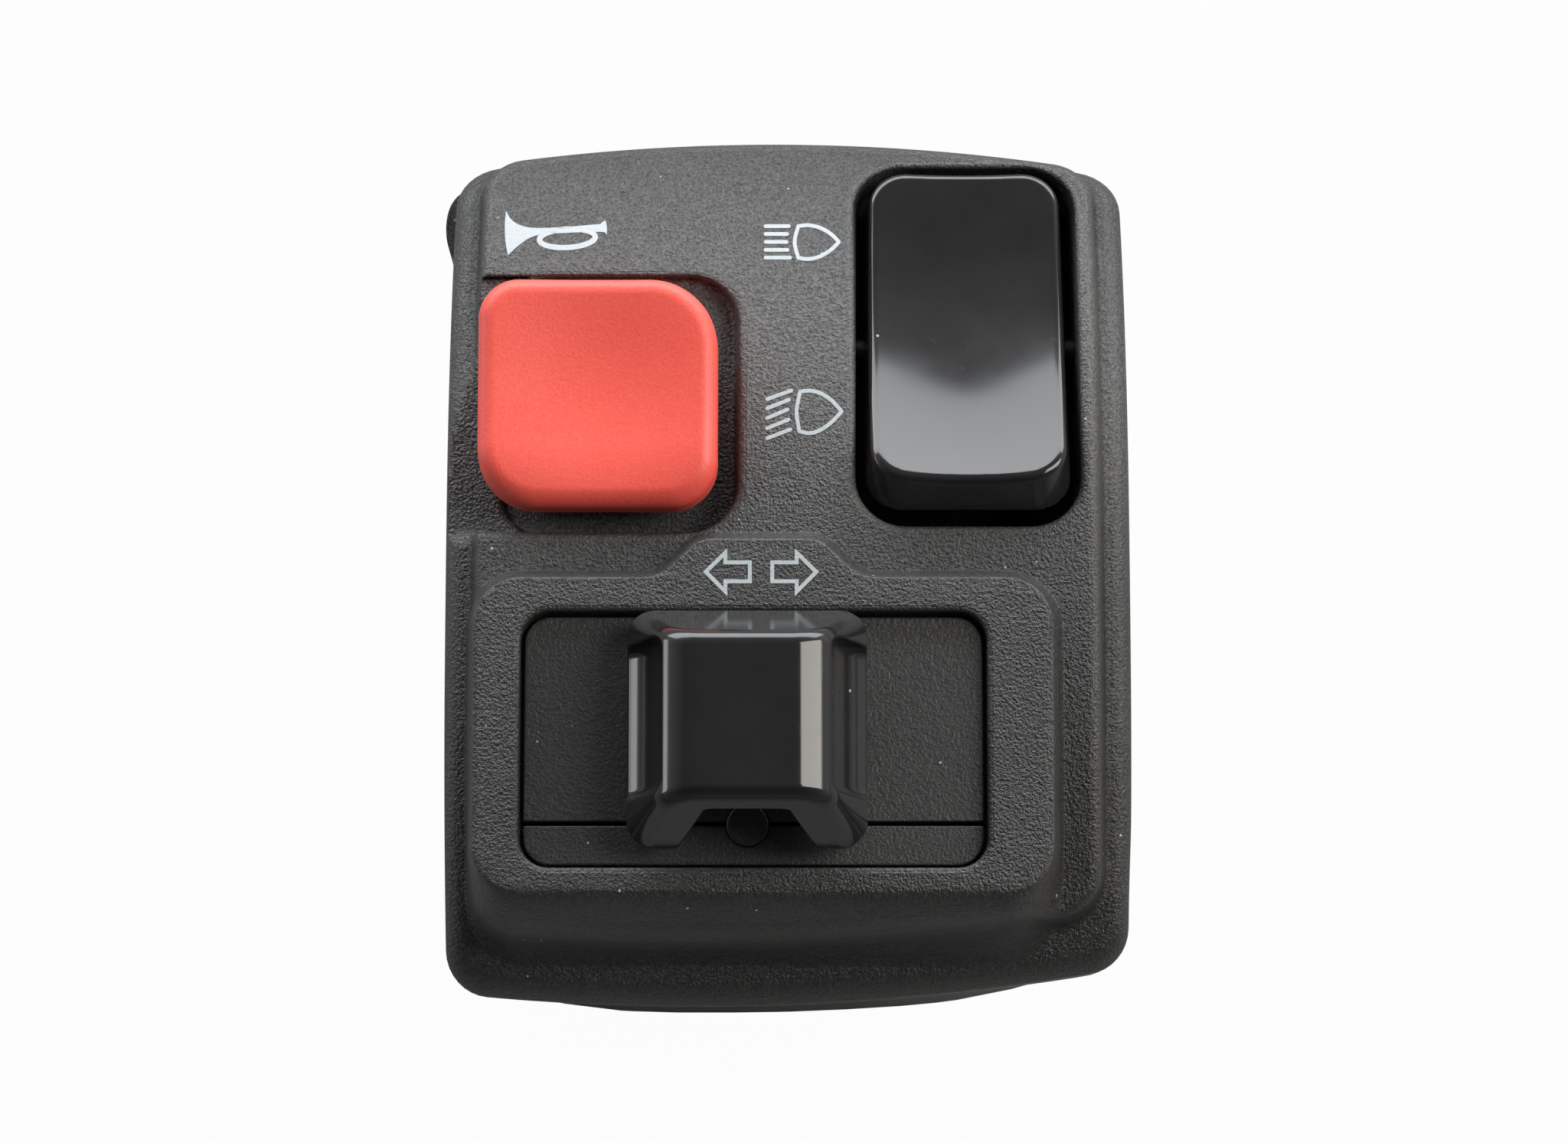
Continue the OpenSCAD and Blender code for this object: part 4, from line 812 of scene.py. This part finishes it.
def surface_net(field, low, high, step):
    """Closed smooth mesh of a solid given by its distance field, with the field's own normals."""
    axes = [np.arange(a, b + step, step) for a, b in zip(low, high)]
    grid = np.stack(np.meshgrid(*axes, indexing="ij"), axis=-1)
    v = field(grid.reshape(-1, 3)).reshape(grid.shape[:3])
    s = v < 0
    n = np.array(v.shape) - 1
    total, hits = np.zeros((*n, 3)), np.zeros(n)
    corners = [(i, j, k) for i in (0, 1) for j in (0, 1) for k in (0, 1)]
    for c in corners:
        for axis in range(3):
            if c[axis]:
                continue
            e = list(c)
            e[axis] = 1
            a = tuple(slice(o, o + m) for o, m in zip(c, n))
            b = tuple(slice(o, o + m) for o, m in zip(e, n))
            cut = s[a] != s[b]
            t = np.where(cut, v[a] / np.where(cut, v[a] - v[b], 1), 0)
            q = np.array(c, float) + t[..., None] * (np.array(e) - np.array(c))
            total += np.where(cut[..., None], q, 0)
            hits += cut
    live = hits > 0
    index = np.full(n, -1)
    index[live] = np.arange(live.sum())
    cell = np.argwhere(live)
    p = np.array(low) + (cell + total[live] / hits[live][:, None]) * step
    quads = []
    for axis in range(3):
        u, w = [k for k in range(3) if k != axis]
        a = [slice(1, -1)] * 3
        a[axis] = slice(0, -1)
        b = [slice(1, -1)] * 3
        b[axis] = slice(1, None)
        cut = np.argwhere(s[tuple(a)] != s[tuple(b)])
        base = cut.copy()
        base[:, u] += 1
        base[:, w] += 1
        rising = s[tuple(a)][tuple(cut.T)]
        ring = []
        for du, dw in ((1, 1), (0, 1), (0, 0), (1, 0)):
            k = base.copy()
            k[:, u] -= du
            k[:, w] -= dw
            ring.append(index[tuple(k.T)])
        ring = np.column_stack(ring)
        if axis == 1:
            rising = ~rising
        ring[~rising] = ring[~rising][:, ::-1]
        quads.append(ring)
    h = step * 0.02
    for last in range(4):
        g = np.column_stack([(field(p + h * d) - field(p - h * d)) / (2 * h) for d in np.eye(3)])
        if last < 3:
            move = g * (field(p) / np.maximum((g * g).sum(axis=1), 0.05))[:, None]
            p = p - np.clip(move, -0.4 * step, 0.4 * step)
    g /= np.maximum(np.linalg.norm(g, axis=1), 1e-9)[:, None]
    return p, np.vstack(quads), g


def round_box2(x, y, a, b, r):
    """Distance to a rounded rectangle; r is one radius or four, from the upper right corner to the left."""
    if not np.isscalar(r):
        r = np.where(x > 0, np.where(y > 0, r[0], r[3]), np.where(y > 0, r[1], r[2]))
    qx, qy = np.abs(x) - a + r, np.abs(y) - b + r
    return np.minimum(np.maximum(qx, qy), 0) + np.hypot(np.maximum(qx, 0), np.maximum(qy, 0)) - r


def both(a, b, r):
    return np.minimum(np.maximum(a, b), -r) + np.hypot(np.maximum(a + r, 0), np.maximum(b + r, 0))


def horn_form(p):
    x, y, z = p[:, 0] - HORN_X, p[:, 1] - HORN_Y, p[:, 2]
    wide = x + HORN_SHIFT
    draft = HORN_DRAFT * (z - HORN_LOW)
    dish = HORN_DISH * np.maximum(1 - (x * x + (y - DISH_Y) ** 2) / DISH_R ** 2, 0) ** 2
    roll = ROLL * np.clip((ROLL_Y - y) / ROLL_RUN, 0, 1) ** 2
    side = round_box2(wide, y, HORN_HALF[0] - draft, HORN_HALF[1] - draft, HORN_CORNERS)
    cap = both(both(side, z - HORN_TOP + dish + roll, 1.15), HORN_LOW - z, 0.3)
    stem = np.maximum(round_box2(x, y, *STEM_HALF, 1.2), np.maximum(STEM_LOW - z, z - HORN_LOW - 0.8))
    room = round_box2(x, y, STEM_HALF[0] - HORN_WALL, STEM_HALF[1] - HORN_WALL, 0.6)
    hollow = np.maximum(room, z - HORN_TOP + HORN_ROOF)
    return np.maximum(np.minimum(cap, stem), -hollow)


horn_red, tree, shader = finish_of("horn_red")
skin = use(tree, grain, Cells_per_metre=5200.0)
patches = use(tree, haze, Patches_per_metre=160.0)
flecks = use(tree, dust, Specks_per_metre=500.0, Share=0.03, Size=0.2)
base = blend(tree, skin.outputs["Tone"], (0.86, 0.085, 0.06), (0.9, 0.115, 0.085))
soft = blend(tree, maths(tree, "MULTIPLY", patches.outputs[0], 0.3), base, (0.92, 0.14, 0.108))
tree.links.new(blend(tree, flecks.outputs[0], soft, (0.95, 0.75, 0.7)), shader.inputs["Base Color"])
tree.links.new(maths(tree, "MULTIPLY_ADD", patches.outputs[0], -0.06, 0.5), shader.inputs["Roughness"])
bumped(tree, shader, skin.outputs["Height"], 0.000025)
v, f, n = surface_net(horn_form, (HORN_X - 8.6, HORN_Y - 8.3, 23.4),
                      (HORN_X + 8.3, HORN_Y + 8.3, 32.3), 0.2)
piece("horn_button_cap", v, f, horn_red, "horn", ["horn_button"], n)


# Dimmer rocker: polished black, with a finger dish along its top, sloped ends and a hub on the steel axle.
# At rest its upper end is pressed in, and its lower end stands out of the pocket.
ROCKER_SLOPE, ROCKER_THROW = np.radians(22), np.radians(8)
ROCKER_HALF, ROCKER_LEN, ROCKER_RISE, ROCKER_DISH, ROCKER_CUP = 6.5, 12.2, 5.0, 1.2, 0.65
SIDE_DRAFT, END_DRAFT, TOP_TILT, THUMB_DIP, THUMB_AT = 0.14, 0.32, 0.033, 0.11, -8.4
ROCKER_FOOT, ROCKER_WALL, ROCKER_ROOF = 1.3, 1.5, 2.5
HUB_R, AXLE_HOLE_R, ARM_R, ARM_END, SPRING_ROOM_R = 2.7, 1.25, 2.2, 4.7, 1.05


def rocker_form(p):
    x, y, z = p[:, 0] - ROCKER_X, p[:, 1] - ROCKER_Y, p[:, 2] - AXLE_Z
    u = y * np.cos(ROCKER_SLOPE) - z * np.sin(ROCKER_SLOPE)
    v = y * np.sin(ROCKER_SLOPE) + z * np.cos(ROCKER_SLOPE)
    up = ROCKER_RISE - v
    half_x = ROCKER_HALF - 0.06 + SIDE_DRAFT * np.minimum(up, 4)
    side = round_box2(x, u + 0.1, half_x, ROCKER_LEN + END_DRAFT * up, 2.6) * 0.95
    thumb = THUMB_DIP * np.exp(-(x * x + (u - THUMB_AT) ** 2) / 18)
    dish = ROCKER_DISH * (1 - (u / ROCKER_LEN) ** 2) + ROCKER_CUP * (1 - (x / ROCKER_HALF) ** 2)
    hollow_top = ROCKER_RISE + TOP_TILT * u - thumb - dish
    cap = both(both(side, v - hollow_top, 0.55), ROCKER_FOOT - v, 0.2)
    room = round_box2(x, u, ROCKER_HALF - ROCKER_WALL, ROCKER_LEN - ROCKER_WALL, 1.4)
    hollow = np.maximum(room, v - ROCKER_ROOF)
    hub = np.maximum(np.hypot(y, z) - HUB_R, np.abs(x) - ROCKER_HALF + 0.8)
    ay = y * np.cos(ROCKER_THROW / 2) - z * np.sin(ROCKER_THROW / 2)
    az = y * np.sin(ROCKER_THROW / 2) + z * np.cos(ROCKER_THROW / 2)
    arm = np.maximum(np.hypot(x, ay) - ARM_R, np.maximum(az, -ARM_END - az))
    spring_room = np.maximum(np.hypot(x, ay) - SPRING_ROOM_R, az + 1.8)
    solid = np.minimum(np.maximum(cap, -hollow), np.minimum(hub, arm))
    return np.maximum(solid, -np.minimum(np.hypot(y, z) - AXLE_HOLE_R, spring_room))


# fine hairline scratches, as on handled gloss plastic
scratch, s_in, s_out = effect("hairlines", [("Lines per metre", 260.0)], ["Mask"])
bend_it = pattern(scratch, "ShaderNodeTexNoise", 90.0, Detail=2.0)
shift = scratch.nodes.new("ShaderNodeVectorMath")
shift.operation = "MULTIPLY_ADD"
scratch.links.new(bend_it.outputs["Color"], shift.inputs[0])
shift.inputs[1].default_value = (0.012, 0.012, 0.012)
object_place = scratch.nodes.new("ShaderNodeTexCoord")
scratch.links.new(object_place.outputs["Object"], shift.inputs[2])
lines = scratch.nodes.new("ShaderNodeTexVoronoi")
lines.feature = "DISTANCE_TO_EDGE"
scratch.links.new(shift.outputs[0], lines.inputs["Vector"])
scratch.links.new(s_in.outputs[0], lines.inputs["Scale"])
thin = maths(scratch, "LESS_THAN", lines.outputs["Distance"], 0.006)
some = pattern(scratch, "ShaderNodeTexNoise", 240.0, Detail=1.0)
some = maths(scratch, "GREATER_THAN", some.outputs[0], 0.6)
scratch.links.new(maths(scratch, "MULTIPLY", thin, some), s_out.inputs["Mask"])

gloss_black, tree, shader = finish_of("gloss_black")
patches = use(tree, haze, Patches_per_metre=140.0)
flecks = use(tree, dust, Specks_per_metre=500.0, Share=0.14, Size=0.09)
marks = use(tree, scratch, Lines_per_metre=210.0)
base = blend(tree, patches.outputs[0], (0.011, 0.011, 0.0115), (0.018, 0.018, 0.0185))
dusty = blend(tree, maths(tree, "MULTIPLY", flecks.outputs[0], 0.6), base, (0.55, 0.54, 0.5))
tree.links.new(dusty, shader.inputs["Base Color"])
dulled = maths(tree, "MULTIPLY_ADD", patches.outputs[0], 0.06, 0.09)
dulled = maths(tree, "MULTIPLY_ADD", marks.outputs[0], 0.08, dulled)
dulled = maths(tree, "MULTIPLY_ADD", flecks.outputs[0], 0.5, dulled, clamp=True)
tree.links.new(dulled, shader.inputs["Roughness"])
shader.inputs["IOR"].default_value = 1.53
v, f, n = surface_net(rocker_form, (ROCKER_X - 7.6, 3.0, 17.6), (ROCKER_X + 7.6, 31.0, 33.2), 0.2)
piece("dimmer_rocker_key", v, f, gloss_black, "dimmer", ["dimmer_rocker"], n)


# Slider knob: a hollow tapered key in polished black, scooped at both sides for the thumb,
# open at the foot of its lower flank over the guide peg, pressed on the cancel plunger.
KNOB_X, KNOB_Y, KNOB_Z, KNOB_H = -2.675, -10.775, 32.55, 8.0
TOP_X, TOP_Y, RUN_X, RUN_Y, FLANK_H = 5.2, 5.35, 0.41, 0.38, 6.7
SCOOP_X, SCOOP_Z, SCOOP_R, SCOOP_HALF = 11.65, 5.62, 6.2, 5.1
ROOM_X, ROOM_Y, ROOM_TOP, POST_R, POST_BORE_R = 1.75, 1.45, 1.8, 3.3, 2.01
GATE_HALF, GATE_RUN, GATE_H, GATE_Y = 4.9, 0.36, 6.2, -5.3
STEEP_X, STEEP_Y, STEEP_GATE = 0.925, 0.935, 0.94


def knob_form(p):
    x, y, z = p[:, 0] - KNOB_X, p[:, 1] - KNOB_Y, p[:, 2] - KNOB_Z
    drop = KNOB_H - z
    down = np.minimum(drop, FLANK_H)
    flank_x = (np.abs(x) - TOP_X - RUN_X * down) * STEEP_X
    flank_y = (np.abs(y) - TOP_Y - RUN_Y * down) * STEEP_Y
    sides = both(both(flank_x, z - KNOB_H, 2.1), flank_y, 0.7 + 0.15 * np.clip(drop, 0, 7))
    scoop = both(np.hypot(np.abs(x) - SCOOP_X, z - SCOOP_Z) - SCOOP_R, np.abs(y - 0.3) - SCOOP_HALF, 0.8)
    shell = both(both(sides, -z, 0.25), -scoop, 0.16)
    room = np.maximum(np.maximum(flank_x + ROOM_X, flank_y + ROOM_Y), z - KNOB_H + ROOM_TOP)
    post = np.maximum(np.hypot(x, y) - POST_R, np.maximum(0.6 - z, z - KNOB_H + 0.8))
    bore = np.maximum(np.hypot(x, y) - POST_BORE_R, z - KNOB_H + ROOM_TOP)
    gate = both((np.abs(x) - (GATE_HALF - GATE_RUN * z)) * STEEP_GATE, z - GATE_H, 0.3)
    gate = np.maximum(gate, y - GATE_Y)
    solid = np.minimum(both(shell, -room, 0.12), post)
    return both(np.maximum(solid, -bore), -gate, 0.16)


v, f, n = surface_net(knob_form, (KNOB_X - 8.4, KNOB_Y - 8.4, KNOB_Z - 0.5),
                      (KNOB_X + 8.4, KNOB_Y + 8.4, KNOB_Z + 8.5), 0.15)
piece("turn_knob_key", v, f, gloss_black, "turn_knob_body", ["turn_knob"], n)


# Slider plates: two flat plates behind the bezel's window, the seam between them on the guide peg,
# in the same plastic as the housing but with a finer grain; their edges are broken.
slider_black = grained_plastic("slider_black", (0.021, 0.021, 0.0215), (0.038, 0.038, 0.038),
                               painted_light_gain=1.0, cells=4800.0, depth=0.00007, rough=0.42, specks=0.22)


def softened(node, material, body, width, reshape=None, segments=2, angle=35):
    """A copy of a built solid with merged points and broken edges."""
    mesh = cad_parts[node].data.copy()
    form = bmesh.new()
    form.from_mesh(mesh)
    bmesh.ops.remove_doubles(form, verts=form.verts, dist=1e-6)
    bmesh.ops.dissolve_limit(form, angle_limit=np.radians(1.0), verts=form.verts, edges=form.edges)
    if reshape:
        moved = reshape(np.array([v.co for v in form.verts]) / MM) * MM
        for vert, place in zip(form.verts, moved):
            vert.co = place
    sharp = [e for e in form.edges if len(e.link_faces) == 2 and e.calc_face_angle(0) > np.radians(angle)]
    bmesh.ops.bevel(form, geom=sharp, offset=width * MM, segments=segments, profile=0.5, affect="EDGES",
                    clamp_overlap=True)
    bmesh.ops.triangulate(form, faces=form.faces, ngon_method="EAR_CLIP")
    form.to_mesh(mesh)
    form.free()
    mesh.materials.clear()
    mesh.materials.append(material)
    mesh.shade_smooth()
    obj = bpy.data.objects.new(node + "_finished", mesh)
    scene.collection.objects.link(obj)
    even = obj.modifiers.new("even_shading", "WEIGHTED_NORMAL")
    even.keep_sharp = True
    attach(obj, body)
    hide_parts(node)
    return obj


for node in ("slider_face_plate", "slider_lower_strip", "slider_peg"):
    softened(node, slider_black, "housing", 0.12)


# Rear housing: the other half of the clamp, moulded in the same grained plastic,
# with deep holes for the two screws.
CORNER_BACK, CORNER_X, CORNER_RUN, CORNER_Y, CORNER_RISE = 1.3, 9, 13, -18, 5


def corners_back(p):
    """The rear half follows the front half's drawn-in corner, and its own lower corners keep behind it."""
    out = drawn_in(p)
    share = np.clip((np.abs(p[:, 0]) - CORNER_X) / CORNER_RUN, 0, 1) ** 2
    out[:, 1] += CORNER_BACK * share * np.clip((CORNER_Y - p[:, 1]) / CORNER_RISE, 0, 1)
    return out


softened("rear_housing", housing_black, "housing", 0.35, reshape=corners_back,
         segments=3, angle=30)


# Grommet: a soft black rubber bush that fills the loom's outlet on the inner side.
# Its finish is cloudy with a fine grain, as are those of the metals, nylon and board that follow.
def cloudy(name, dark, light, clouds, cells, rough, spread, depth, metallic=0.0):
    material, tree, shader = finish_of(name)
    patches = use(tree, haze, Patches_per_metre=clouds)
    skin = use(tree, grain, Cells_per_metre=cells)
    tree.links.new(blend(tree, patches.outputs[0], dark, light), shader.inputs["Base Color"])
    dulled = maths(tree, "MULTIPLY_ADD", skin.outputs["Tone"], spread, rough)
    tree.links.new(dulled, shader.inputs["Roughness"])
    shader.inputs["Metallic"].default_value = metallic
    bumped(tree, shader, skin.outputs["Height"], depth)
    return material


rubber_black = cloudy("rubber_black", (0.016, 0.016, 0.016), (0.03, 0.03, 0.029), clouds=300.0,
                      cells=2600.0, rough=0.62, spread=0.1, depth=0.00002)
FLANGE_SHARE = 0.5


def thin_flange(p):
    """The soft flange lies flat on the wall."""
    x = np.where(p[:, 0] > RIM_X, RIM_X + (p[:, 0] - RIM_X) * FLANGE_SHARE, p[:, 0])
    return np.column_stack([x, p[:, 1:]])


softened("cable_grommet", rubber_black, "housing", 0.2, reshape=thin_flange)


# Housing screws: two zinc-plated pan heads with a cross recess and a rolled thread, sunk in the rear half.
# One screw is shaped, then set at both places.
SCREW_Y, SCREW_SEAT, SCREW_END = 20.5, -5.5, 7.7
HEAD_R, HEAD_H, SHANK_R, PITCH, CREST = 3.68, 2.48, 1.95, 0.7, 0.15
CROSS_DEPTH, CROSS_HALF, CROSS_REACH, HALF_LOSS, REACH_LOSS = 1.9, 0.45, 2.0, 0.15, 1.1


def metal(name, dark, light, rough, scale):
    return cloudy(name, dark, light, clouds=scale, cells=scale * 12, rough=rough, spread=0.14,
                  depth=0.000008, metallic=1.0)


zinc_steel = metal("zinc_steel", (0.5, 0.51, 0.53), (0.66, 0.67, 0.68), 0.26, 500.0)


def screw_form(p):
    x, y, z = p[:, 0], p[:, 1], p[:, 2] - SCREW_SEAT
    out = np.hypot(x, y)
    pan = np.hypot(out, np.maximum(-z, 0) * 1.6 - 0.4) - HEAD_R - 0.55
    head = both(both(out - HEAD_R, -HEAD_H - z, 0.7), both(pan, z, 0.1), 0.3)
    turn = np.arctan2(y, x) / (2 * np.pi)
    crest = CREST * np.cos(2 * np.pi * (z / PITCH - turn)) - CREST
    shank = np.maximum(out - SHANK_R - crest, np.maximum(z - SCREW_END + SCREW_SEAT, -0.5 - z)) * 0.6
    deep = np.clip((z + HEAD_H) / CROSS_DEPTH, 0, 1)
    arms = [np.maximum(np.abs(s) - CROSS_HALF + HALF_LOSS * deep, np.abs(t) - CROSS_REACH + REACH_LOSS * deep)
            for s, t in ((x, y), (y, x))]
    recess = np.maximum(np.minimum(*arms), z + HEAD_H - CROSS_DEPTH)
    return both(np.minimum(head, shank), -recess, 0.08)


def node_form(name, inputs):
    """An empty geometry node group that takes a shape and named inputs and gives a shape."""
    group = bpy.data.node_groups.new(name, "GeometryNodeTree")
    group.interface.new_socket("Geometry", in_out="INPUT", socket_type="NodeSocketGeometry")
    for label, kind in inputs:
        group.interface.new_socket(label, in_out="INPUT", socket_type="NodeSocket" + kind)
    group.interface.new_socket("Geometry", in_out="OUTPUT", socket_type="NodeSocketGeometry")
    return group, group.nodes.new("NodeGroupInput").outputs, group.nodes.new("NodeGroupOutput").inputs


def chain(tree, kind, **inputs):
    node = tree.nodes.new(kind)
    for label, value in inputs.items():
        socket = node.inputs[label.replace("_", " ")]
        if isinstance(value, bpy.types.NodeSocket):
            tree.links.new(value, socket)
        else:
            socket.default_value = value
    return node.outputs[0]


def grown(name, group, start, body, slot, stands_for, **values):
    """Runs a geometry node group on a mesh and keeps the result as a plain piece."""
    maker = bpy.data.objects.new(name + "_maker", start)
    scene.collection.objects.link(maker)
    grow = maker.modifiers.new("grow", "NODES")
    grow.node_group = group
    keys = {i.name: i.identifier for i in group.interface.items_tree if i.in_out == "INPUT"}
    for label, value in values.items():
        grow[keys[label.replace("_", " ")]] = value
    bpy.context.view_layer.update()
    shape = bpy.data.meshes.new_from_object(maker.evaluated_get(bpy.context.evaluated_depsgraph_get()))
    bpy.data.objects.remove(maker)
    obj = bpy.data.objects.new(name, shape)
    scene.collection.objects.link(obj)
    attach(obj, body)
    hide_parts(stands_for)
    return obj


row, at, out = node_form("screw_row", [
    ("Count", "Int"), ("First place", "Vector"), ("Step", "Vector"), ("Material", "Material")])
spots = chain(row, "GeometryNodeMeshLine", Count=at["Count"], Start_Location=at["First place"],
              Offset=at["Step"])
spots = chain(row, "GeometryNodeInstanceOnPoints", Points=spots, Instance=at["Geometry"])
spots = chain(row, "GeometryNodeRealizeInstances", Geometry=spots)
row.links.new(chain(row, "GeometryNodeSetMaterial", Geometry=spots, Material=at["Material"]), out[0])
v, f, n = surface_net(screw_form, (-4.1, -4.1, SCREW_SEAT - HEAD_H - 0.5),
                      (4.1, 4.1, SCREW_END + 0.5), 0.17)
one_screw = bpy.data.meshes.new("one_screw")
one_screw.from_pydata((v * MM).tolist(), [], f.tolist())
one_screw.shade_smooth()
grown("housing_screw_pair", row, one_screw, "housing", "steel", "housing_screws", Count=2,
      First_place=(0, -SCREW_Y * MM, 0), Step=(0, 2 * SCREW_Y * MM, 0), Material=zinc_steel)


# Inner pieces, hidden in the closed housing: brass contacts and inserts, steel axle and rail,
# nylon carriage, clip and track, laminate board, steel balls and plunger.
black_steel = metal("black_steel", (0.012, 0.012, 0.013), (0.02, 0.02, 0.021), 0.5, 500.0)
brass = metal("brass", (0.66, 0.46, 0.16), (0.8, 0.6, 0.26), 0.24, 600.0)
nylon = cloudy("natural_nylon", (0.74, 0.73, 0.66), (0.84, 0.83, 0.77), clouds=220.0,
               cells=3000.0, rough=0.4, spread=0.12, depth=0.000015)
laminate = cloudy("board_laminate", (0.016, 0.016, 0.015), (0.024, 0.023, 0.022), clouds=500.0,
                  cells=2200.0, rough=0.45, spread=0.1, depth=0.00001)
for material, names in (
        (brass, ("threaded_inserts", "horn_contacts", "dimmer_contacts", "turn_contacts",
                 "horn_contact_bridge", "dimmer_contact_bridge", "turn_contact_bridge")),
        (black_steel, ("dimmer_axle",)),
        (zinc_steel, ("board_screws", "turn_detent_rail", "dimmer_ball", "turn_detent_ball",
                      "cancel_plunger", "plunger_clip")),
        (nylon, ("dimmer_detent_track", "horn_clip", "turn_carriage")),
        (laminate, ("contact_board",))):
    for node in names:
        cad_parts[node].data.materials.clear()
        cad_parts[node].data.materials.append(material)


# Springs: coiled from drawn steel wire with closed ends, one under the horn button, one under the slider's
# plunger and one behind each detent ball.
wire_steel = metal("wire_steel", (0.42, 0.43, 0.45), (0.6, 0.61, 0.63), 0.2, 900.0)
coil, at, out = node_form("coil_spring", [
    ("Coil radius", "Float"), ("Wire radius", "Float"), ("Turns", "Float"), ("Bottom", "Float"),
    ("Top", "Float"), ("Place", "Vector"), ("Lean", "Vector"), ("Material", "Material")])
line = chain(coil, "GeometryNodeCurveSpiral", Resolution=28, Rotations=at["Turns"],
             Start_Radius=at["Coil radius"], End_Radius=at["Coil radius"], Height=0.0)
run = coil.nodes.new("GeometryNodeSplineParameter").outputs["Factor"]
end = maths(coil, "DIVIDE", 1.0, at["Turns"])
rest = maths(coil, "SUBTRACT", 1.0, end)
thick = maths(coil, "MULTIPLY", at["Wire radius"], 2.1)
low_z = maths(coil, "ADD", at["Bottom"], at["Wire radius"])
high_z = maths(coil, "SUBTRACT", at["Top"], at["Wire radius"])
open_rise = maths(coil, "SUBTRACT", high_z, maths(coil, "MULTIPLY_ADD", thick, 2.0, low_z))
for start, stop, rise in ((0.0, end, thick), (end, rest, open_rise), (rest, 1.0, thick)):
    part = chain(coil, "ShaderNodeMapRange", Value=run, From_Min=start, From_Max=stop, To_Min=0.0,
                 To_Max=rise)
    low_z = maths(coil, "ADD", low_z, part)
flat_place = coil.nodes.new("ShaderNodeSeparateXYZ")
coil.links.new(coil.nodes.new("GeometryNodeInputPosition").outputs[0], flat_place.inputs[0])
raised = chain(coil, "ShaderNodeCombineXYZ", X=flat_place.outputs["X"], Y=flat_place.outputs["Y"], Z=low_z)
line = chain(coil, "GeometryNodeSetPosition", Geometry=line, Position=raised)
section = chain(coil, "GeometryNodeCurvePrimitiveCircle", Resolution=12, Radius=at["Wire radius"])
wound = chain(coil, "GeometryNodeCurveToMesh", Curve=line, Profile_Curve=section, Fill_Caps=True)
leaned = chain(coil, "FunctionNodeEulerToRotation", Euler=at["Lean"])
wound = chain(coil, "GeometryNodeTransform", Geometry=wound, Translation=at["Place"], Rotation=leaned)
wound = chain(coil, "GeometryNodeSetShadeSmooth", Geometry=wound)
wound = chain(coil, "GeometryNodeRealizeInstances", Geometry=wound)
coil.links.new(chain(coil, "GeometryNodeSetMaterial", Geometry=wound, Material=at["Material"]), out[0])
horn_axis, knob_axis = (HORN_X, HORN_Y, 0), (KNOB_X, KNOB_Y, 0)
ball_axis = (KNOB_X - 4.5, KNOB_Y + 3.5, 0)
arm_axis, arm_lean = (ROCKER_X, ROCKER_Y, AXLE_Z), -ROCKER_THROW / 2
for node, body, r, wire_r, turns, z0, z1, place, lean, joint, travel in (
        ("horn_spring", "housing", 2.5, 0.25, 7.0, 16.2, 25.86, horn_axis, 0, "horn_press", 2.0),
        ("cancel_spring", "turn_slide_body", 1.9, 0.2, 5.0, 18.7, 26.0, knob_axis, 0, "turn_cancel", 1.5),
        ("dimmer_spring", "dimmer", 0.75, 0.15, 4.0, -3.88, -1.87, arm_axis, arm_lean, None, 0),
        ("turn_detent_spring", "turn_slide_body", 0.85, 0.175, 7.0, 19.68, 26.42, ball_axis, 0, None, 0)):
    spring = grown(node + "_wire", coil, bpy.data.meshes.new(node + "_start"), body, "spring_steel", node,
                   Coil_radius=r * MM, Wire_radius=wire_r * MM, Turns=turns, Bottom=z0 * MM, Top=z1 * MM,
                   Place=[c * MM for c in place], Lean=(lean, 0, 0), Material=wire_steel)
    if joint:
        foot = (place[0] * MM, place[1] * MM, z0 * MM)
        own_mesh(spring)


bpy.context.view_layer.update()
